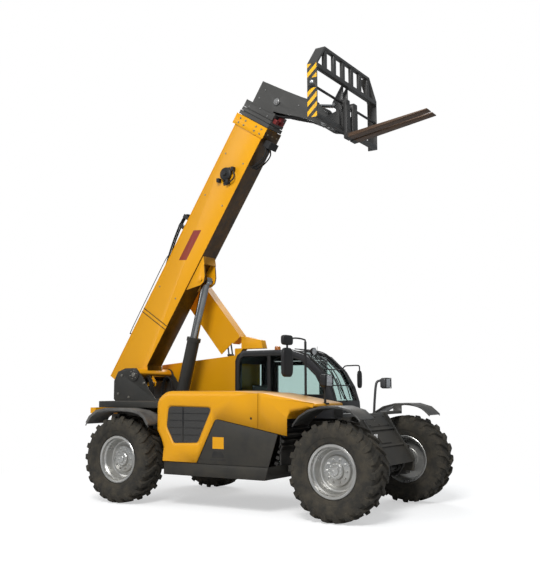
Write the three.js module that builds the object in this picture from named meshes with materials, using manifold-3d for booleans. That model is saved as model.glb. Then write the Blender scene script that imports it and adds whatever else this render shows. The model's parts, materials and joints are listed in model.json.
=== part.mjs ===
// Telehandler with a four-section boom, a cab on the left and an engine bay on the right.
// Millimetres. X points forwards, Y to the left, Z up. Every piece is laid out from a work origin
// on the ground midway between the axles; the last lines move the whole machine so that the
// origin is the middle of its box, on the ground.
import * as THREE from "three";
import { mergeVertices } from "three/addons/utils/BufferGeometryUtils.js";
import Module from "manifold-3d";

const wasm = await Module();
wasm.setup();

// ---- driving dimensions ----
const SEAT = 0.3;               // gap between pieces that touch
const PIVOT_GAP = 0.5;          // side gap of an eye, hub or barrel between its ears
const RUN = 6;                  // gap between pieces that move past each other
const WHEELBASE = 3400;
const TRACK = 2140;
const TYRE_R = 600;
const TYRE_W = 410;
const RIM_R = 300;              // bead seat radius
const FLANGE_R = 325;
const WHEEL_SIDES = 28;
const KINGPIN_INSET = 230;      // wheel centre plane to kingpin axis
const STEER_PIN_H = 300;
const FRAME_Y = 405;            // outer face of each frame plate
const PLATE = 25;               // frame plate thickness
const DECK_Z = 1105;            // top of the deck between the frame plates
const BOOM_DEG = 57.1;
const PIVOT = [-2150, 1790];    // boom pivot, x and z
const BOOM_W = 350;
const BOOM_H = 560;
const BOOM_UNDER = 30;          // boom underside above the pivot line
const BOOM_TAIL = -390;         // distances along the boom, from the pivot
const BOOM_HEAD = 4060;
const COLLAR = 160;             // length of the base section's head collar
const BOOM_WALL = 12;
const SLIDE_GAP = 10;           // space between one boom section and the next
const LIFT_BASE = [-1590, 1280];
const LIFT_EYE = [1765, -120];  // along the boom and off the pivot line
const LIFT_EYE_R = 70;
const LIFT_BARREL = 1100;
const LIFT_ROD = 1095;
const COMP_BASE = [-2200, 1165];
const COMP_EYE = [-52, -177];
const COMP_Y = -110;
const TOOL_PIVOT = [4673, -835];
const TILT_BASE = [4625, 72];
const TILT_ARM = 285;
const TILT_ARM_DEG = 70.5;
const TILT_HALF = 52;           // half width of the tilt barrel's eye
const NECK_Y = 170;             // outer face of each goose-neck plate
const TILT_EYE_HALF = 55;       // half width of the tilt rod's eye
const CARRIAGE_W = 1830;
const CARRIAGE_FACE = 1375;     // front face of the carriage frame
const CARRIAGE_Z = [5090, 5830];
const CARRIAGE_TOP = 6130;      // top of the load guard
const CARRIAGE_POST = 145;      // depth of each side post
const RAIL = 60;
const FORK_BAR = [1350, 5500];  // bar the forks hang on, x and z
const FORK_LEN = 1230;
const FORK_W = 145;
const FORK_GAP = 185;           // between fork centres
const FORK_DEG = 8;
const CAB_IN = 300;             // right-hand face of the cab above the frame
const CAB_OUT = 1110;
const CAB_WALL = 45;
const CAB_TOP = 2140;
const CAB_REAR = -760;
const CAB_SPLIT = 1156;         // the cab is narrower below this height
const CAB_FRONT = 935;
const DOOR = [-560, 330];       // rear and front edge of the door opening
const DOOR_Z = [700, 2000];
const SIDE_OUT = 1150;          // outer face of the engine side
const SILL_TOP = 600;
const BONNET_TOP = 1546;
const BONNET_SPLIT = 600;       // front end of the opening bonnet
const BONNET_IN = 430;
const FENDER_IN = 870;
const FENDER_OUT = 1270;
const BODY_Y = [430, 1050];     // rear left body
const BODY_TOP = [1955, 2085];  // its top at the rear and at the front
const BODY_X = [-2300, -800];
const COVER_HINGE = [-745, 2365];
const COVER_DEG = 50;           // how far the cover stands open
const COVER_FRONT = 170;        // depth of its front wall

const rad = THREE.MathUtils.degToRad;

// ---- materials ----
function paint(color, roughness, metalness) {
  return new THREE.MeshStandardMaterial({ color, roughness, metalness });
}
const yellow = () => paint(0xe8a51c, 0.5, 0.1);
const dark = () => paint(0x4a4a46, 0.6, 0.2);
const black = () => paint(0x1c1c1d, 0.6, 0.1);
const rubber = () => paint(0x1a1917, 0.9, 0);
const silver = () => paint(0xa8a9a8, 0.45, 0.6);
const chrome = () => paint(0xd0d2d4, 0.15, 1);
const steel = () => paint(0x3b3a38, 0.55, 0.6);

function glassy() {
  const m = paint(0x9fb4b4, 0.1, 0);
  m.transparent = true;
  m.opacity = 0.35;
  return m;
}

// ---- solids ----
// Turns a closed geometry into a solid. Triangles that collapsed on an axis are dropped, and a
// profile that was drawn the other way round is turned to face outwards.
function solid(geometry) {
  const g = geometry.clone();
  g.deleteAttribute("normal");
  g.deleteAttribute("uv");
  const m = mergeVertices(g, 1e-3);
  const ids = Array.from(m.index.array);
  const faces = [];
  for (let i = 0; i < ids.length; i += 3) {
    const [a, b, c] = ids.slice(i, i + 3);
    if (a !== b && b !== c && c !== a) faces.push([a, b, c]);
  }
  const points = m.attributes.position.array;
  const make = (list) => new wasm.Manifold(new wasm.Mesh({
    numProp: 3,
    vertProperties: new Float32Array(points),
    triVerts: new Uint32Array(list.flat()),
  }));
  const made = make(faces);
  if (made.volume() > 0) return made;
  return make(faces.map(([a, b, c]) => [a, c, b]));
}

function join(first, ...rest) {
  return rest.reduce((sum, next) => sum.add(next), first);
}

function cut(first, ...rest) {
  return rest.reduce((sum, next) => sum.subtract(next), first);
}

function box(x, y, z) {
  const g = new THREE.BoxGeometry(x[1] - x[0], y[1] - y[0], z[1] - z[0]);
  g.translate((x[0] + x[1]) / 2, (y[0] + y[1]) / 2, (z[0] + z[1]) / 2);
  return solid(g);
}

// An outline in x and z, drawn out from y[0] to y[1].
function prism(points, y) {
  const shape = new THREE.Shape(points.map(([px, pz]) => new THREE.Vector2(px, pz)));
  const g = new THREE.ExtrudeGeometry(shape, { depth: y[1] - y[0], bevelEnabled: false });
  g.rotateX(Math.PI / 2);
  g.translate(0, y[1], 0);
  return solid(g);
}

function barY(r, x, z, y, sides = 20) {
  const g = new THREE.CylinderGeometry(r, r, y[1] - y[0], sides);
  g.translate(x, (y[0] + y[1]) / 2, z);
  return solid(g);
}

function barZ(r, x, y, z, sides = 20) {
  const g = new THREE.CylinderGeometry(r, r, z[1] - z[0], sides);
  g.rotateX(Math.PI / 2);
  g.translate(x, y, (z[0] + z[1]) / 2);
  return solid(g);
}

// A straight round bar between two points.
function rod(r, from, to, sides = 8) {
  const a = new THREE.Vector3(...from);
  const b = new THREE.Vector3(...to);
  const g = new THREE.CylinderGeometry(r, r, a.distanceTo(b), sides);
  const turn = new THREE.Quaternion();
  turn.setFromUnitVectors(new THREE.Vector3(0, 1, 0), b.clone().sub(a).normalize());
  g.applyQuaternion(turn);
  g.translate(...a.clone().add(b).multiplyScalar(0.5).toArray());
  return solid(g);
}

function lathe(profile, sides) {
  const points = profile.map(([r, h]) => new THREE.Vector2(r, h));
  const g = new THREE.LatheGeometry(points, sides);
  g.rotateY(Math.PI / sides);
  return solid(g);
}

// A polyline moved sideways by a distance, to its left when positive.
function beside(line, distance) {
  return line.map((p, i) => {
    const a = line[Math.max(0, i - 1)];
    const b = line[Math.min(line.length - 1, i + 1)];
    const t = new THREE.Vector2(b[0] - a[0], b[1] - a[1]).normalize();
    return [p[0] - t.y * distance, p[1] + t.x * distance];
  });
}

// The first and last points of a polyline moved inwards along it.
function trimmed(line, ends) {
  const pull = (p, q, by) => {
    const d = Math.hypot(q[0] - p[0], q[1] - p[1]);
    return [p[0] + (q[0] - p[0]) * by / d, p[1] + (q[1] - p[1]) * by / d];
  };
  const out = line.map((p) => [...p]);
  const last = line.length - 1;
  out[0] = pull(line[0], line[1], ends);
  out[last] = pull(line[last], line[last - 1], ends);
  return out;
}

function strip(line, outer, inner) {
  return [...beside(line, outer), ...beside(line, inner).reverse()];
}

const machine = new THREE.Group();

function place(name, shape, material, parent = machine) {
  const made = shape.getMesh();
  const g = new THREE.BufferGeometry();
  const points = new Float32Array(made.numVert * 3);
  for (let i = 0; i < made.numVert; i += 1) {
    points.set(made.vertProperties.slice(i * made.numProp, i * made.numProp + 3), i * 3);
  }
  g.setAttribute("position", new THREE.BufferAttribute(points, 3));
  g.setIndex(new THREE.BufferAttribute(new Uint32Array(made.triVerts), 1));
  g.computeVertexNormals();
  const mesh = new THREE.Mesh(g, material);
  mesh.name = name;
  parent.add(mesh);
  return mesh;
}

// A group whose x and z axes are turned up by an angle in the side view.
function sideGroup(x, y, z, degrees, parent = machine) {
  const g = new THREE.Group();
  g.position.set(x, y, z);
  g.rotation.set(0, -rad(degrees), 0);
  parent.add(g);
  return g;
}

// ---- frame ----
const AXLE_X = WHEELBASE / 2;
const BEAM = 220;
const BEAM_TOP = TYRE_R + BEAM / 2;
const NOSE = [[1640, 1250], [2060, 620]];

function frameOutline() {
  const seat = BEAM_TOP + SEAT;
  return [
    [-2455, 640], [-2455, 1330], [-2560, 1420], [-2560, 1700], [-2480, 1840], [-2330, 1890],
    [-2120, 1890], [-1990, 1750], [-1860, 1560], [-1720, 1420], [-1560, 1400], [-1380, 1340],
    [-1250, 1150], [1350, 1150], [1480, 1250], NOSE[0], NOSE[1], [2060, 500], [AXLE_X + 160, 500],
    [AXLE_X + 160, seat], [AXLE_X - 160, seat], [AXLE_X - 160, 500], [1400, 440],
    [-1400, 440], [-AXLE_X + 160, 500], [-AXLE_X + 160, seat], [-AXLE_X - 160, seat],
    [-AXLE_X - 160, 640],
  ];
}

for (const side of [-1, 1]) {
  const y = [FRAME_Y - PLATE, FRAME_Y].map((v) => side * v).sort((a, b) => a - b);
  const boss = [FRAME_Y - 5, FRAME_Y + 20].map((v) => side * v).sort((a, b) => a - b);
  let plate = prism(frameOutline(), y);
  plate = join(plate, barY(100, PIVOT[0], PIVOT[1], boss, 24));
  if (side < 0) {
    const rail = [-BONNET_IN + PIVOT_GAP, -FRAME_Y + 5];
    plate = join(plate, box([-900, BONNET_SPLIT], rail, [1100, BONNET_TOP - 30]));
  }
  place(side < 0 ? "frame_plate_right" : "frame_plate_left", plate, dark());
}

{
  const inside = FRAME_Y - PLATE - SEAT;
  const y = [-inside, inside];
  const [a, b] = NOSE;
  const ear = [[-1690, 1100], [-1690, 1300], [-1630, 1350], [-1550, 1350], [-1490, 1300], [-1490, 1100]];
  const compEar = [[-2250, 1100], [-2250, 1190], [-2215, 1215], [-2185, 1215], [-2150, 1190], [-2150, 1100]];
  const liftY = 96 + PIVOT_GAP;
  const compY = 30 + PIVOT_GAP;
  let deck = box([-2430, 1640], y, [DECK_Z - 25, DECK_Z]);
  deck = join(deck, prism([a, b, [b[0] - 30, b[1]], [a[0] - 30, a[1]]], y));
  deck = join(deck, prism([[1610, DECK_Z - 25], [1640, DECK_Z - 25], a, [a[0] - 30, a[1]]], y));
  for (const s of [-1, 1]) {
    const at = [s * liftY, s * (liftY + 25)].sort((m, n) => m - n);
    deck = join(deck, prism(ear, at));
    const small = [COMP_Y + s * compY, COMP_Y + s * (compY + 20)].sort((m, n) => m - n);
    deck = join(deck, prism(compEar, small));
  }
  place("frame_deck", deck, dark());
}

place("counterweight", join(
  prism([[-2455 - SEAT, 700], [-2530, 700], [-2560, 760], [-2560, 1300], [-2455 - SEAT, 1300]], [-430, 430]),
  box([-2560, -2455 - SEAT], [-900, 900], [1215, 1300]),
), yellow());

// ---- axles, knuckles and wheels ----
const KING_Y = TRACK / 2 - KINGPIN_INSET;
const EAR_IN = STEER_PIN_H / 2 + PIVOT_GAP;

function axle() {
  let shape = box([-BEAM / 2, BEAM / 2], [-740, 740], [TYRE_R - BEAM / 2, TYRE_R + BEAM / 2]);
  shape = join(shape, barY(190, 0, TYRE_R, [-150, 150], 16));
  for (const s of [-1, 1]) {
    const web = [s * 735, s * 765].sort((m, n) => m - n);
    const ears = [s * 740, s * (KING_Y + 75)].sort((m, n) => m - n);
    shape = join(shape, box([-90, 90], web, [TYRE_R - 190, TYRE_R + 190]));
    shape = join(shape, box([-75, 75], ears, [TYRE_R + EAR_IN, TYRE_R + 190]));
    shape = join(shape, box([-75, 75], ears, [TYRE_R - 190, TYRE_R - EAR_IN]));
  }
  return shape;
}

function knuckle() {
  const king = barZ(70, 0, 0, [-STEER_PIN_H / 2, STEER_PIN_H / 2], 16);
  const spindle = barY(120, 0, 0, [0, KINGPIN_INSET - 70 - PIVOT_GAP], 16);
  return join(king, spindle);
}

function rim() {
  const edge = 165;
  return lathe([
    [0, -70], [150, -70], [150, -30], [RIM_R - 15, -30], [RIM_R - 15, -edge], [FLANGE_R, -edge],
    [FLANGE_R, 15 - edge], [RIM_R, 15 - edge], [RIM_R, edge - 15], [FLANGE_R, edge - 15],
    [FLANGE_R, edge], [RIM_R - 15, edge], [RIM_R - 15, -5], [130, -5], [130, 110], [0, 110],
  ], WHEEL_SIDES);
}

function tyre() {
  const bead = 150 - SEAT;
  const seat = RIM_R + SEAT;
  const half = TYRE_W / 2;
  const tread = TYRE_R / Math.cos(Math.PI / WHEEL_SIDES);
  const right = [[seat, -bead], [330, -bead], [345, -180], [450, -half], [560, 5 - half], [tread, -165]];
  const left = right.map(([r, w]) => [r, -w]).reverse();
  return lathe([...right, ...left, right[0]], WHEEL_SIDES);
}

for (const [end, x] of [["front", AXLE_X], ["rear", -AXLE_X]]) {
  const axleMesh = place(`${end}_axle`, axle(), dark());
  axleMesh.position.x = x;
  for (const [side, s] of [["right", -1], ["left", 1]]) {
    const corner = new THREE.Group();
    corner.position.set(x, s * KING_Y, TYRE_R);
    corner.rotation.z = s > 0 ? 0 : Math.PI;
    machine.add(corner);
    place(`${end}_${side}_knuckle`, knuckle(), dark(), corner);
    const wheel = new THREE.Group();
    wheel.position.y = KINGPIN_INSET;
    corner.add(wheel);
    place(`${end}_${side}_rim`, rim(), silver(), wheel);
    place(`${end}_${side}_tyre`, tyre(), rubber(), wheel);
  }
}

// ---- fenders ----
const FRONT_ARCH = [[-520, 540], [-430, 645], [-300, 722], [-110, 768], [110, 768], [280, 722], [400, 620]];
const REAR_ARCH = [[-590, 500], [-530, 590], [-400, 675], [-200, 710], [200, 710], [400, 675], [520, 600], [590, 500]];

function fender(arch, thickness, armX) {
  const line = arch.map(([px, pz]) => [px, pz + TYRE_R]);
  const strap = prism(strip(line, 0, -thickness), [FENDER_IN, FENDER_OUT]);
  const top = Math.max(...line.map((p) => p[1]));
  const arm = box(armX, [FRAME_Y + SEAT, FENDER_IN + 30], [1225, 1265]);
  const riser = box(armX, [FENDER_IN, FENDER_IN + 30], [1225, top - 5]);
  return join(strap, arm, riser);
}

for (const s of [-1, 1]) {
  const side = s < 0 ? "right" : "left";
  const turned = (shape) => (s < 0 ? shape.mirror([0, 1, 0]) : shape);
  const front = place(`front_${side}_fender`, turned(fender(FRONT_ARCH, 20, [-140, -20])), dark());
  front.position.x = AXLE_X;
  const rear = place(`rear_${side}_fender`, turned(fender(REAR_ARCH, 40, [-60, 60])), black());
  rear.position.x = -AXLE_X;
}

// ---- engine side ----
place("right_sill", prism([[-935, 430], [-935, SILL_TOP], [760, SILL_TOP], [700, 430]],
  [-SIDE_OUT + 10, -FRAME_Y - PIVOT_GAP]), dark());
place("engine_block", box([-650, 540], [-1020, -470], [SILL_TOP + SEAT, 1330]), steel());
place("side_panel", prism([[-360, SILL_TOP + SEAT], [-60, 1180], [900, 1010], [760, SILL_TOP + SEAT]],
  [-SIDE_OUT, -SIDE_OUT + 20]), dark());

// Outline of the whole engine cover, from its lower rear corner round over the top to the nose.
const COVER_OUT = [
  [-1085, 1010], [-1085, 1430], [-930, BONNET_TOP], [230, BONNET_TOP], [700, 1510], [1368, 1400],
  [1430, 1385], [1440, 1360], [1250, 1318], [1040, 1290], [1040, 992], [-63, 1187],
  [-367, SILL_TOP + RUN], [-945, SILL_TOP + RUN], [-970, 800], [-1010, 900],
];
const COVER_IN = [
  [-933, 500], [-958, 800], [-998, 902], [-1073, 1014], [-1073, 1424], [-926, 1534], [229, 1534],
  [698, 1498], [1366, 1388], [1400, 1374], [1250, 1331], [1028, 1300], [1028, 500],
];

{
  const y = [-SIDE_OUT, -BONNET_IN];
  const whole = cut(prism(COVER_OUT, y), prism(COVER_IN, [y[0] + 12, y[1] + 50]));
  const behind = box([-1200, BONNET_SPLIT], [y[0] - 10, y[1] + 10], [400, 1700]);
  const ahead = box([BONNET_SPLIT + RUN, 1600], [y[0] - 10, y[1] + 10], [400, 1700]);
  const grille = prism([[-860, 1340], [-130, 1330], [-360, 865], [-760, 850], [-890, 1070]],
    [y[0] - 5, y[0] + 5]);
  place("engine_bonnet", cut(whole.intersect(behind), grille), yellow());
  const foot = box([BONNET_SPLIT + RUN, 900], [-BONNET_IN - 30, -FRAME_Y - SEAT], [1110, 1145]);
  const upright = box([BONNET_SPLIT + RUN, 780], [-BONNET_IN - 30, -BONNET_IN - 18], [1110, 1490]);
  place("front_body_right", join(whole.intersect(ahead), foot, upright), yellow());
}

place("rear_deck", box([-2250, -1130], [-1050, -FRAME_Y - PIVOT_GAP], [1310 + SEAT, 1400]), dark());

// ---- rear left body with its cover ----
// A raised cap at its front inner edge carries the cover's hinge and stands over the cab roof.
{
  const front = COVER_HINGE[0] + RUN;
  const main = prism([
    [BODY_X[1], 560], [BODY_X[1], BODY_TOP[1]], [BODY_X[0], BODY_TOP[0]], [BODY_X[0], 1310 + SEAT],
    [-935, 1310 + SEAT], [-935, 560],
  ], BODY_Y);
  const leg = [BODY_X[1] - 60, CAB_REAR - RUN];
  const cap = prism([
    [leg[0], BODY_TOP[1] - 20], [leg[1], BODY_TOP[1] - 20], [leg[1], 2110], [-710, CAB_TOP + 35],
    [-345, CAB_TOP + 35], [-380, 2300], [front + 60, COVER_HINGE[1]], COVER_HINGE,
    [COVER_HINGE[0], COVER_HINGE[1] - 30], [front, COVER_HINGE[1] - 36],
    [front, COVER_HINGE[1] - COVER_FRONT - 8], [leg[0], COVER_HINGE[1] - COVER_FRONT - 8],
  ], [BODY_Y[0], 560]);
  place("rear_left_body", join(main, cap), yellow());
}

{
  const hinge = sideGroup(COVER_HINGE[0] - PIVOT_GAP, 0, COVER_HINGE[1], -COVER_DEG);
  const far = BODY_X[0] - COVER_HINGE[0] + 110;
  const rear = BODY_TOP[0] - COVER_HINGE[1] + RUN + 10;
  const y = [BODY_Y[0] - 19, 590];
  const near = prism([[0, 0], [far, 0], [far, -440], [-24, -440], [-24, -COVER_FRONT], [0, -COVER_FRONT]],
    [y[0], y[0] + 12]);
  const top = box([far, 0], y, [-12, 0]);
  const ends = join(box([-12, 0], y, [-COVER_FRONT, 0]), box([far, far + 12], y, [rear, 0]));
  place("rear_cover", join(near, top, ends), yellow(), hinge);
}

{
  const at = -990;
  const slope = (BODY_TOP[1] - BODY_TOP[0]) / (BODY_X[1] - BODY_X[0]);
  const base = [at, BODY_TOP[0] + (at - BODY_X[0]) * slope + 20 + 2 * SEAT];
  const length = 674;
  const stay = sideGroup(base[0], 0, base[1], 100);
  const y = [465, 560];
  let shape = barY(20, 0, 0, [y[0] - 20, y[1] + 20], 12);
  shape = join(shape, barY(12, length, 0, [y[0] - 12, y[1] + 12], 12));
  for (const v of y) shape = join(shape, rod(12, [0, v, 0], [length, v, 0], 12));
  place("cover_stay", shape, steel(), stay);
}

// ---- cab ----
const SCREEN = [[100, CAB_TOP], [222, 2128], [463, 2047], [714, 1818], [850, 1600], [922, 1377]];
const CAB_OUTLINE = [
  [CAB_REAR, 560], [CAB_REAR, 1990], [-722, 2080], [-620, CAB_TOP], ...SCREEN, [CAB_FRONT, 1200], [CAB_FRONT, 560],
];
const CAB_ROOM = [
  [-715, 620], [-715, 1975], [-685, 2050], [-605, 2093], [95, 2093], [205, 2080], [435, 2008],
  [675, 1792], [808, 1580], [877, 1370], [890, 1200], [890, 620],
];
const SCREEN_EDGE = trimmed(SCREEN, 30);
const SCREEN_Y = [CAB_IN + 90, CAB_OUT - 90];
const SIDE_GLASS = [
  [-690, 1480], [-690, 1950], [-662, 2025], [-600, 2062], [90, 2062], [190, 2048], [405, 1978],
  [640, 1765], [755, 1570], [790, 1480],
];
const CORNER_GLASS = [
  [385, 1230], [385, 1985], [425, 1962], [640, 1768], [765, 1565], [825, 1400], [840, 1230],
];
const REAR_GLASS = [[420, 1020], [1480, 1950]];
const DOOR_GLASS = [[-490, 1180], [-490, 1930], [200, 1930], [260, 1870], [260, 1180]];

const HINGE_AT = [7, 14];       // door hinge axis from the door's rear outer edge
const HINGE_Z = [1080, 1900];   // top of each hinge barrel on the door

// The corners of a convex outline, each moved towards its middle.
function shrunk(points, by) {
  const cx = points.reduce((sum, p) => sum + p[0], 0) / points.length;
  const cz = points.reduce((sum, p) => sum + p[1], 0) / points.length;
  return points.map(([px, pz]) => {
    const d = Math.hypot(px - cx, pz - cz);
    return [px - (px - cx) * by / d, pz - (pz - cz) * by / d];
  });
}

{
  const low = box([-900, 1500], [CAB_IN - 10, FRAME_Y + PIVOT_GAP], [500, CAB_SPLIT]);
  const room = prism(CAB_ROOM, [CAB_IN + CAB_WALL, CAB_OUT - CAB_WALL]);
  const shelf = box([-900, 1500], [CAB_IN, FRAME_Y + CAB_WALL], [500, CAB_SPLIT + CAB_WALL]);
  const wall = [CAB_IN - 20, CAB_IN + CAB_WALL + 20];
  const doorway = box(DOOR, [CAB_OUT - CAB_WALL - 20, CAB_OUT + 20], DOOR_Z);
  const rear = box([CAB_REAR - 20, CAB_REAR + 80], REAR_GLASS[0], REAR_GLASS[1]);
  let shell = cut(prism(CAB_OUTLINE, [CAB_IN, CAB_OUT]), low, cut(room, shelf));
  const outer = [CAB_OUT - CAB_WALL - 20, CAB_OUT + 20];
  shell = cut(shell, doorway, rear, prism(SIDE_GLASS, wall), prism(CORNER_GLASS, outer));
  shell = cut(shell, prism(strip(SCREEN_EDGE, 60, -70), SCREEN_Y));
  const axis = [DOOR[0] + RUN + HINGE_AT[0], CAB_OUT + HINGE_AT[1]];
  for (const z of HINGE_Z) {
    const span = [z + PIVOT_GAP, z + 40];
    shell = join(shell, barZ(12, axis[0], axis[1], span, 12));
    shell = join(shell, box([DOOR[0] - 40, axis[0]], [CAB_OUT + 3, axis[1]], span));
    shell = join(shell, box([DOOR[0] - 40, DOOR[0] - 5], [CAB_OUT - 5, axis[1]], span));
  }
  place("cab_shell", shell, dark());
}

{
  const gap = SEAT;
  const pane = trimmed(SCREEN_EDGE, 2 * gap);
  const across = [SCREEN_Y[0] + gap, SCREEN_Y[1] - gap];
  place("windscreen", prism(strip(pane, -14, -22), across), glassy());
  const side = [CAB_IN + 14, CAB_IN + 22];
  place("side_window", prism(shrunk(SIDE_GLASS, 3 * gap), side), glassy());
  const left = [CAB_OUT - 22, CAB_OUT - 14];
  place("corner_window", prism(shrunk(CORNER_GLASS, 3 * gap), left), glassy());
  const [ry, rz] = REAR_GLASS;
  place("rear_window", box([CAB_REAR + 14, CAB_REAR + 22], [ry[0] + gap, ry[1] - gap],
    [rz[0] + gap, rz[1] - gap]), glassy());
}

{
  const g = new THREE.Group();
  g.position.set(DOOR[0] + RUN, CAB_OUT, 0);
  machine.add(g);
  const wide = DOOR[1] - DOOR[0] - 2 * RUN;
  const frame = box([0, wide], [-CAB_WALL + 5, 0], [DOOR_Z[0] + RUN, DOOR_Z[1] - RUN]);
  const opening = DOOR_GLASS.map(([px, pz]) => [px - g.position.x, pz]);
  let door = cut(frame, prism(opening, [-60, 20]));
  for (const z of HINGE_Z) {
    const span = [z - 180, z];
    door = join(door, barZ(12, HINGE_AT[0], HINGE_AT[1], span, 12), box([HINGE_AT[0], 45], [-2, HINGE_AT[1]], span));
  }
  place("cab_door", door, dark(), g);
  place("door_glass", prism(shrunk(opening, 2 * SEAT), [-26, -18]), glassy(), g);
}

{
  const floor = 620 + SEAT;
  let seat = box([-420, -60], [560, 940], [floor, 940]);
  seat = join(seat, box([-540, 10], [500, 1000], [940, 1060]));
  seat = join(seat, prism([[-560, 1000], [-660, 1640], [-590, 1650], [-450, 1060], [-450, 1000]], [510, 990]));
  place("seat", seat, black());
  let controls = box([540, 680], [560, 940], [floor, 1180]);
  controls = join(controls, rod(30, [600, 750, 1150], [400, 750, 1340], 12));
  const wheel = new THREE.CylinderGeometry(190, 190, 30, 24);
  wheel.rotateX(Math.PI / 2);
  wheel.rotateY(-rad(38));
  wheel.translate(395, 750, 1345);
  controls = join(controls, solid(wheel));
  controls = join(controls, box([540, 680], [FRAME_Y + CAB_WALL + PIVOT_GAP, 560], [1010, 1180]));
  place("operator_controls", controls, black());
}

// ---- mirrors, lamps and beacon ----
{
  const x = 870;
  const y = -FRAME_Y + PLATE / 2;
  const z = 1150 + SEAT;
  const head = [x - 25, x + 25];
  let shape = rod(16, [x, y, z], [x, y, 2265], 12);
  shape = join(shape, box([x - 30, x + 30], [y - 12, y + 12], [z, z + 14]));
  shape = join(shape, rod(9, [x, y, 2245], [x, -780, 2225]), rod(12, [x, -862, 2200], [x, -862, 2050]));
  shape = join(shape, box(head, [-985, -740], [1725, 2100]), box(head, [-985, -740], [2135, 2265]));
  place("right_mirror", shape, black());
}
{
  const y = CAB_OUT + SEAT;
  let shape = box([590, 650], [y, y + 12], [1800, 1860]);
  shape = join(shape, rod(10, [620, y + 16, 1840], [640, y + 45, 1925]), rod(10, [640, y + 45, 1925], [868, 1215, 1925]));
  shape = join(shape, rod(10, [868, 1215, 1930], [870, 1215, 1820]), box([850, 892], [1165, 1265], [1580, 1835]));
  place("left_mirror", shape, black());
}
function lamp(x, y, z) {
  return box([x - 40, x + 50], [y - 95, y + 95], [z - 80, z + 80]);
}
{
  const y = 850;
  let right = lamp(1430, -y, 1675);
  right = join(right, rod(15, [1420, -y, 1440], [1430, -y, 1620]));
  right = join(right, prism([[1300, 1411.2 + SEAT], [1368, 1400 + SEAT], [1430, 1385 + SEAT],
    [1430, 1450], [1300, 1450]], [-y - 30, -y + 30]));
  place("headlamp_right", right, black());
}
// The left lamp stands on the rear slope of its fender.
{
  const y = 980;
  const [low, high] = FRONT_ARCH.slice(0, 2).map(([px, pz]) => [px + AXLE_X, pz + TYRE_R]);
  const rise = (high[1] - low[1]) / (high[0] - low[0]);
  const on = (px) => low[1] + (px - low[0]) * rise + 2 * SEAT;
  let left = prism([[1190, on(1190)], [1235, on(1235)], [1235, 1235], [1190, 1235]], [y - 30, y + 30]);
  left = join(left, rod(15, [1212, y, 1210], [1255, y, 1690]), rod(15, [1255, y, 1685], [1340, y + 60, 1660]));
  place("headlamp_left", join(left, lamp(1365, y + 70, 1650)), black());
}
place("beacon", join(barZ(55, -250, 700, [CAB_TOP + SEAT, CAB_TOP + 20], 20),
  barZ(45, -250, 700, [CAB_TOP + 15, CAB_TOP + 80], 20)), paint(0xd86a12, 0.3, 0));

// ---- boom ----
// In the boom's group x runs along the boom from its pivot and z is square to it.
const boom = sideGroup(PIVOT[0], 0, PIVOT[1], BOOM_DEG);
const MID = BOOM_UNDER + BOOM_H / 2;

function tube(w, h, wall, from, to) {
  const hollow = box([from - 10, to + 10], [wall - w / 2, w / 2 - wall], [MID - h / 2 + wall, MID + h / 2 - wall]);
  return cut(box([from, to], [-w / 2, w / 2], [MID - h / 2, MID + h / 2]), hollow);
}

{
  const w = BOOM_W / 2;
  let shape = box([BOOM_TAIL, BOOM_HEAD], [-w, w], [BOOM_UNDER, BOOM_UNDER + BOOM_H]);
  shape = join(shape, box([BOOM_HEAD - 5, BOOM_HEAD + COLLAR], [-w - 20, w + 20], [0, BOOM_UNDER + BOOM_H + 45]));
  shape = join(shape, barY(95, 0, 0, [PLATE + PIVOT_GAP - FRAME_Y, FRAME_Y - PLATE - PIVOT_GAP], 24));
  shape = join(shape, prism([[-190, 60], [-95, -20], [95, -20], [190, 60]], [-w, w]));
  const [ex, ez] = LIFT_EYE;
  const cheek = [[1500, 32], [2100, 32], [ex + 80, ez - 44], [ex, ez - 70], [ex - 70, ez - 44]];
  const [cx, cz] = COMP_EYE;
  const clevis = [[-160, 40], [90, 40], [cx + 42, cz - 25], [cx, cz - 48], [cx - 42, cz - 25]];
  for (const s of [-1, 1]) {
    const at = [s * 125, s * 150].sort((m, n) => m - n);
    shape = join(shape, prism(cheek, at));
    const gap = 25 + PIVOT_GAP;
    const small = [COMP_Y + s * gap, COMP_Y + s * (gap + 18)].sort((m, n) => m - n);
    shape = join(shape, prism(clevis, small));
    const pin = [s * (62 + PIVOT_GAP), s * 165].sort((m, n) => m - n);
    shape = join(shape, barY(35, ex, ez, pin, 16));
  }
  shape = join(shape, prism([[2060, 34], [2098, 34], [2000, -53], [1985, -40]], [-150, 150]));
  const room = box([BOOM_TAIL + 20, BOOM_HEAD + COLLAR + 20], [BOOM_WALL - w, w - BOOM_WALL],
    [BOOM_UNDER + BOOM_WALL, BOOM_UNDER + BOOM_H - BOOM_WALL]);
  place("boom_base", cut(shape, room), yellow(), boom);
}

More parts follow.
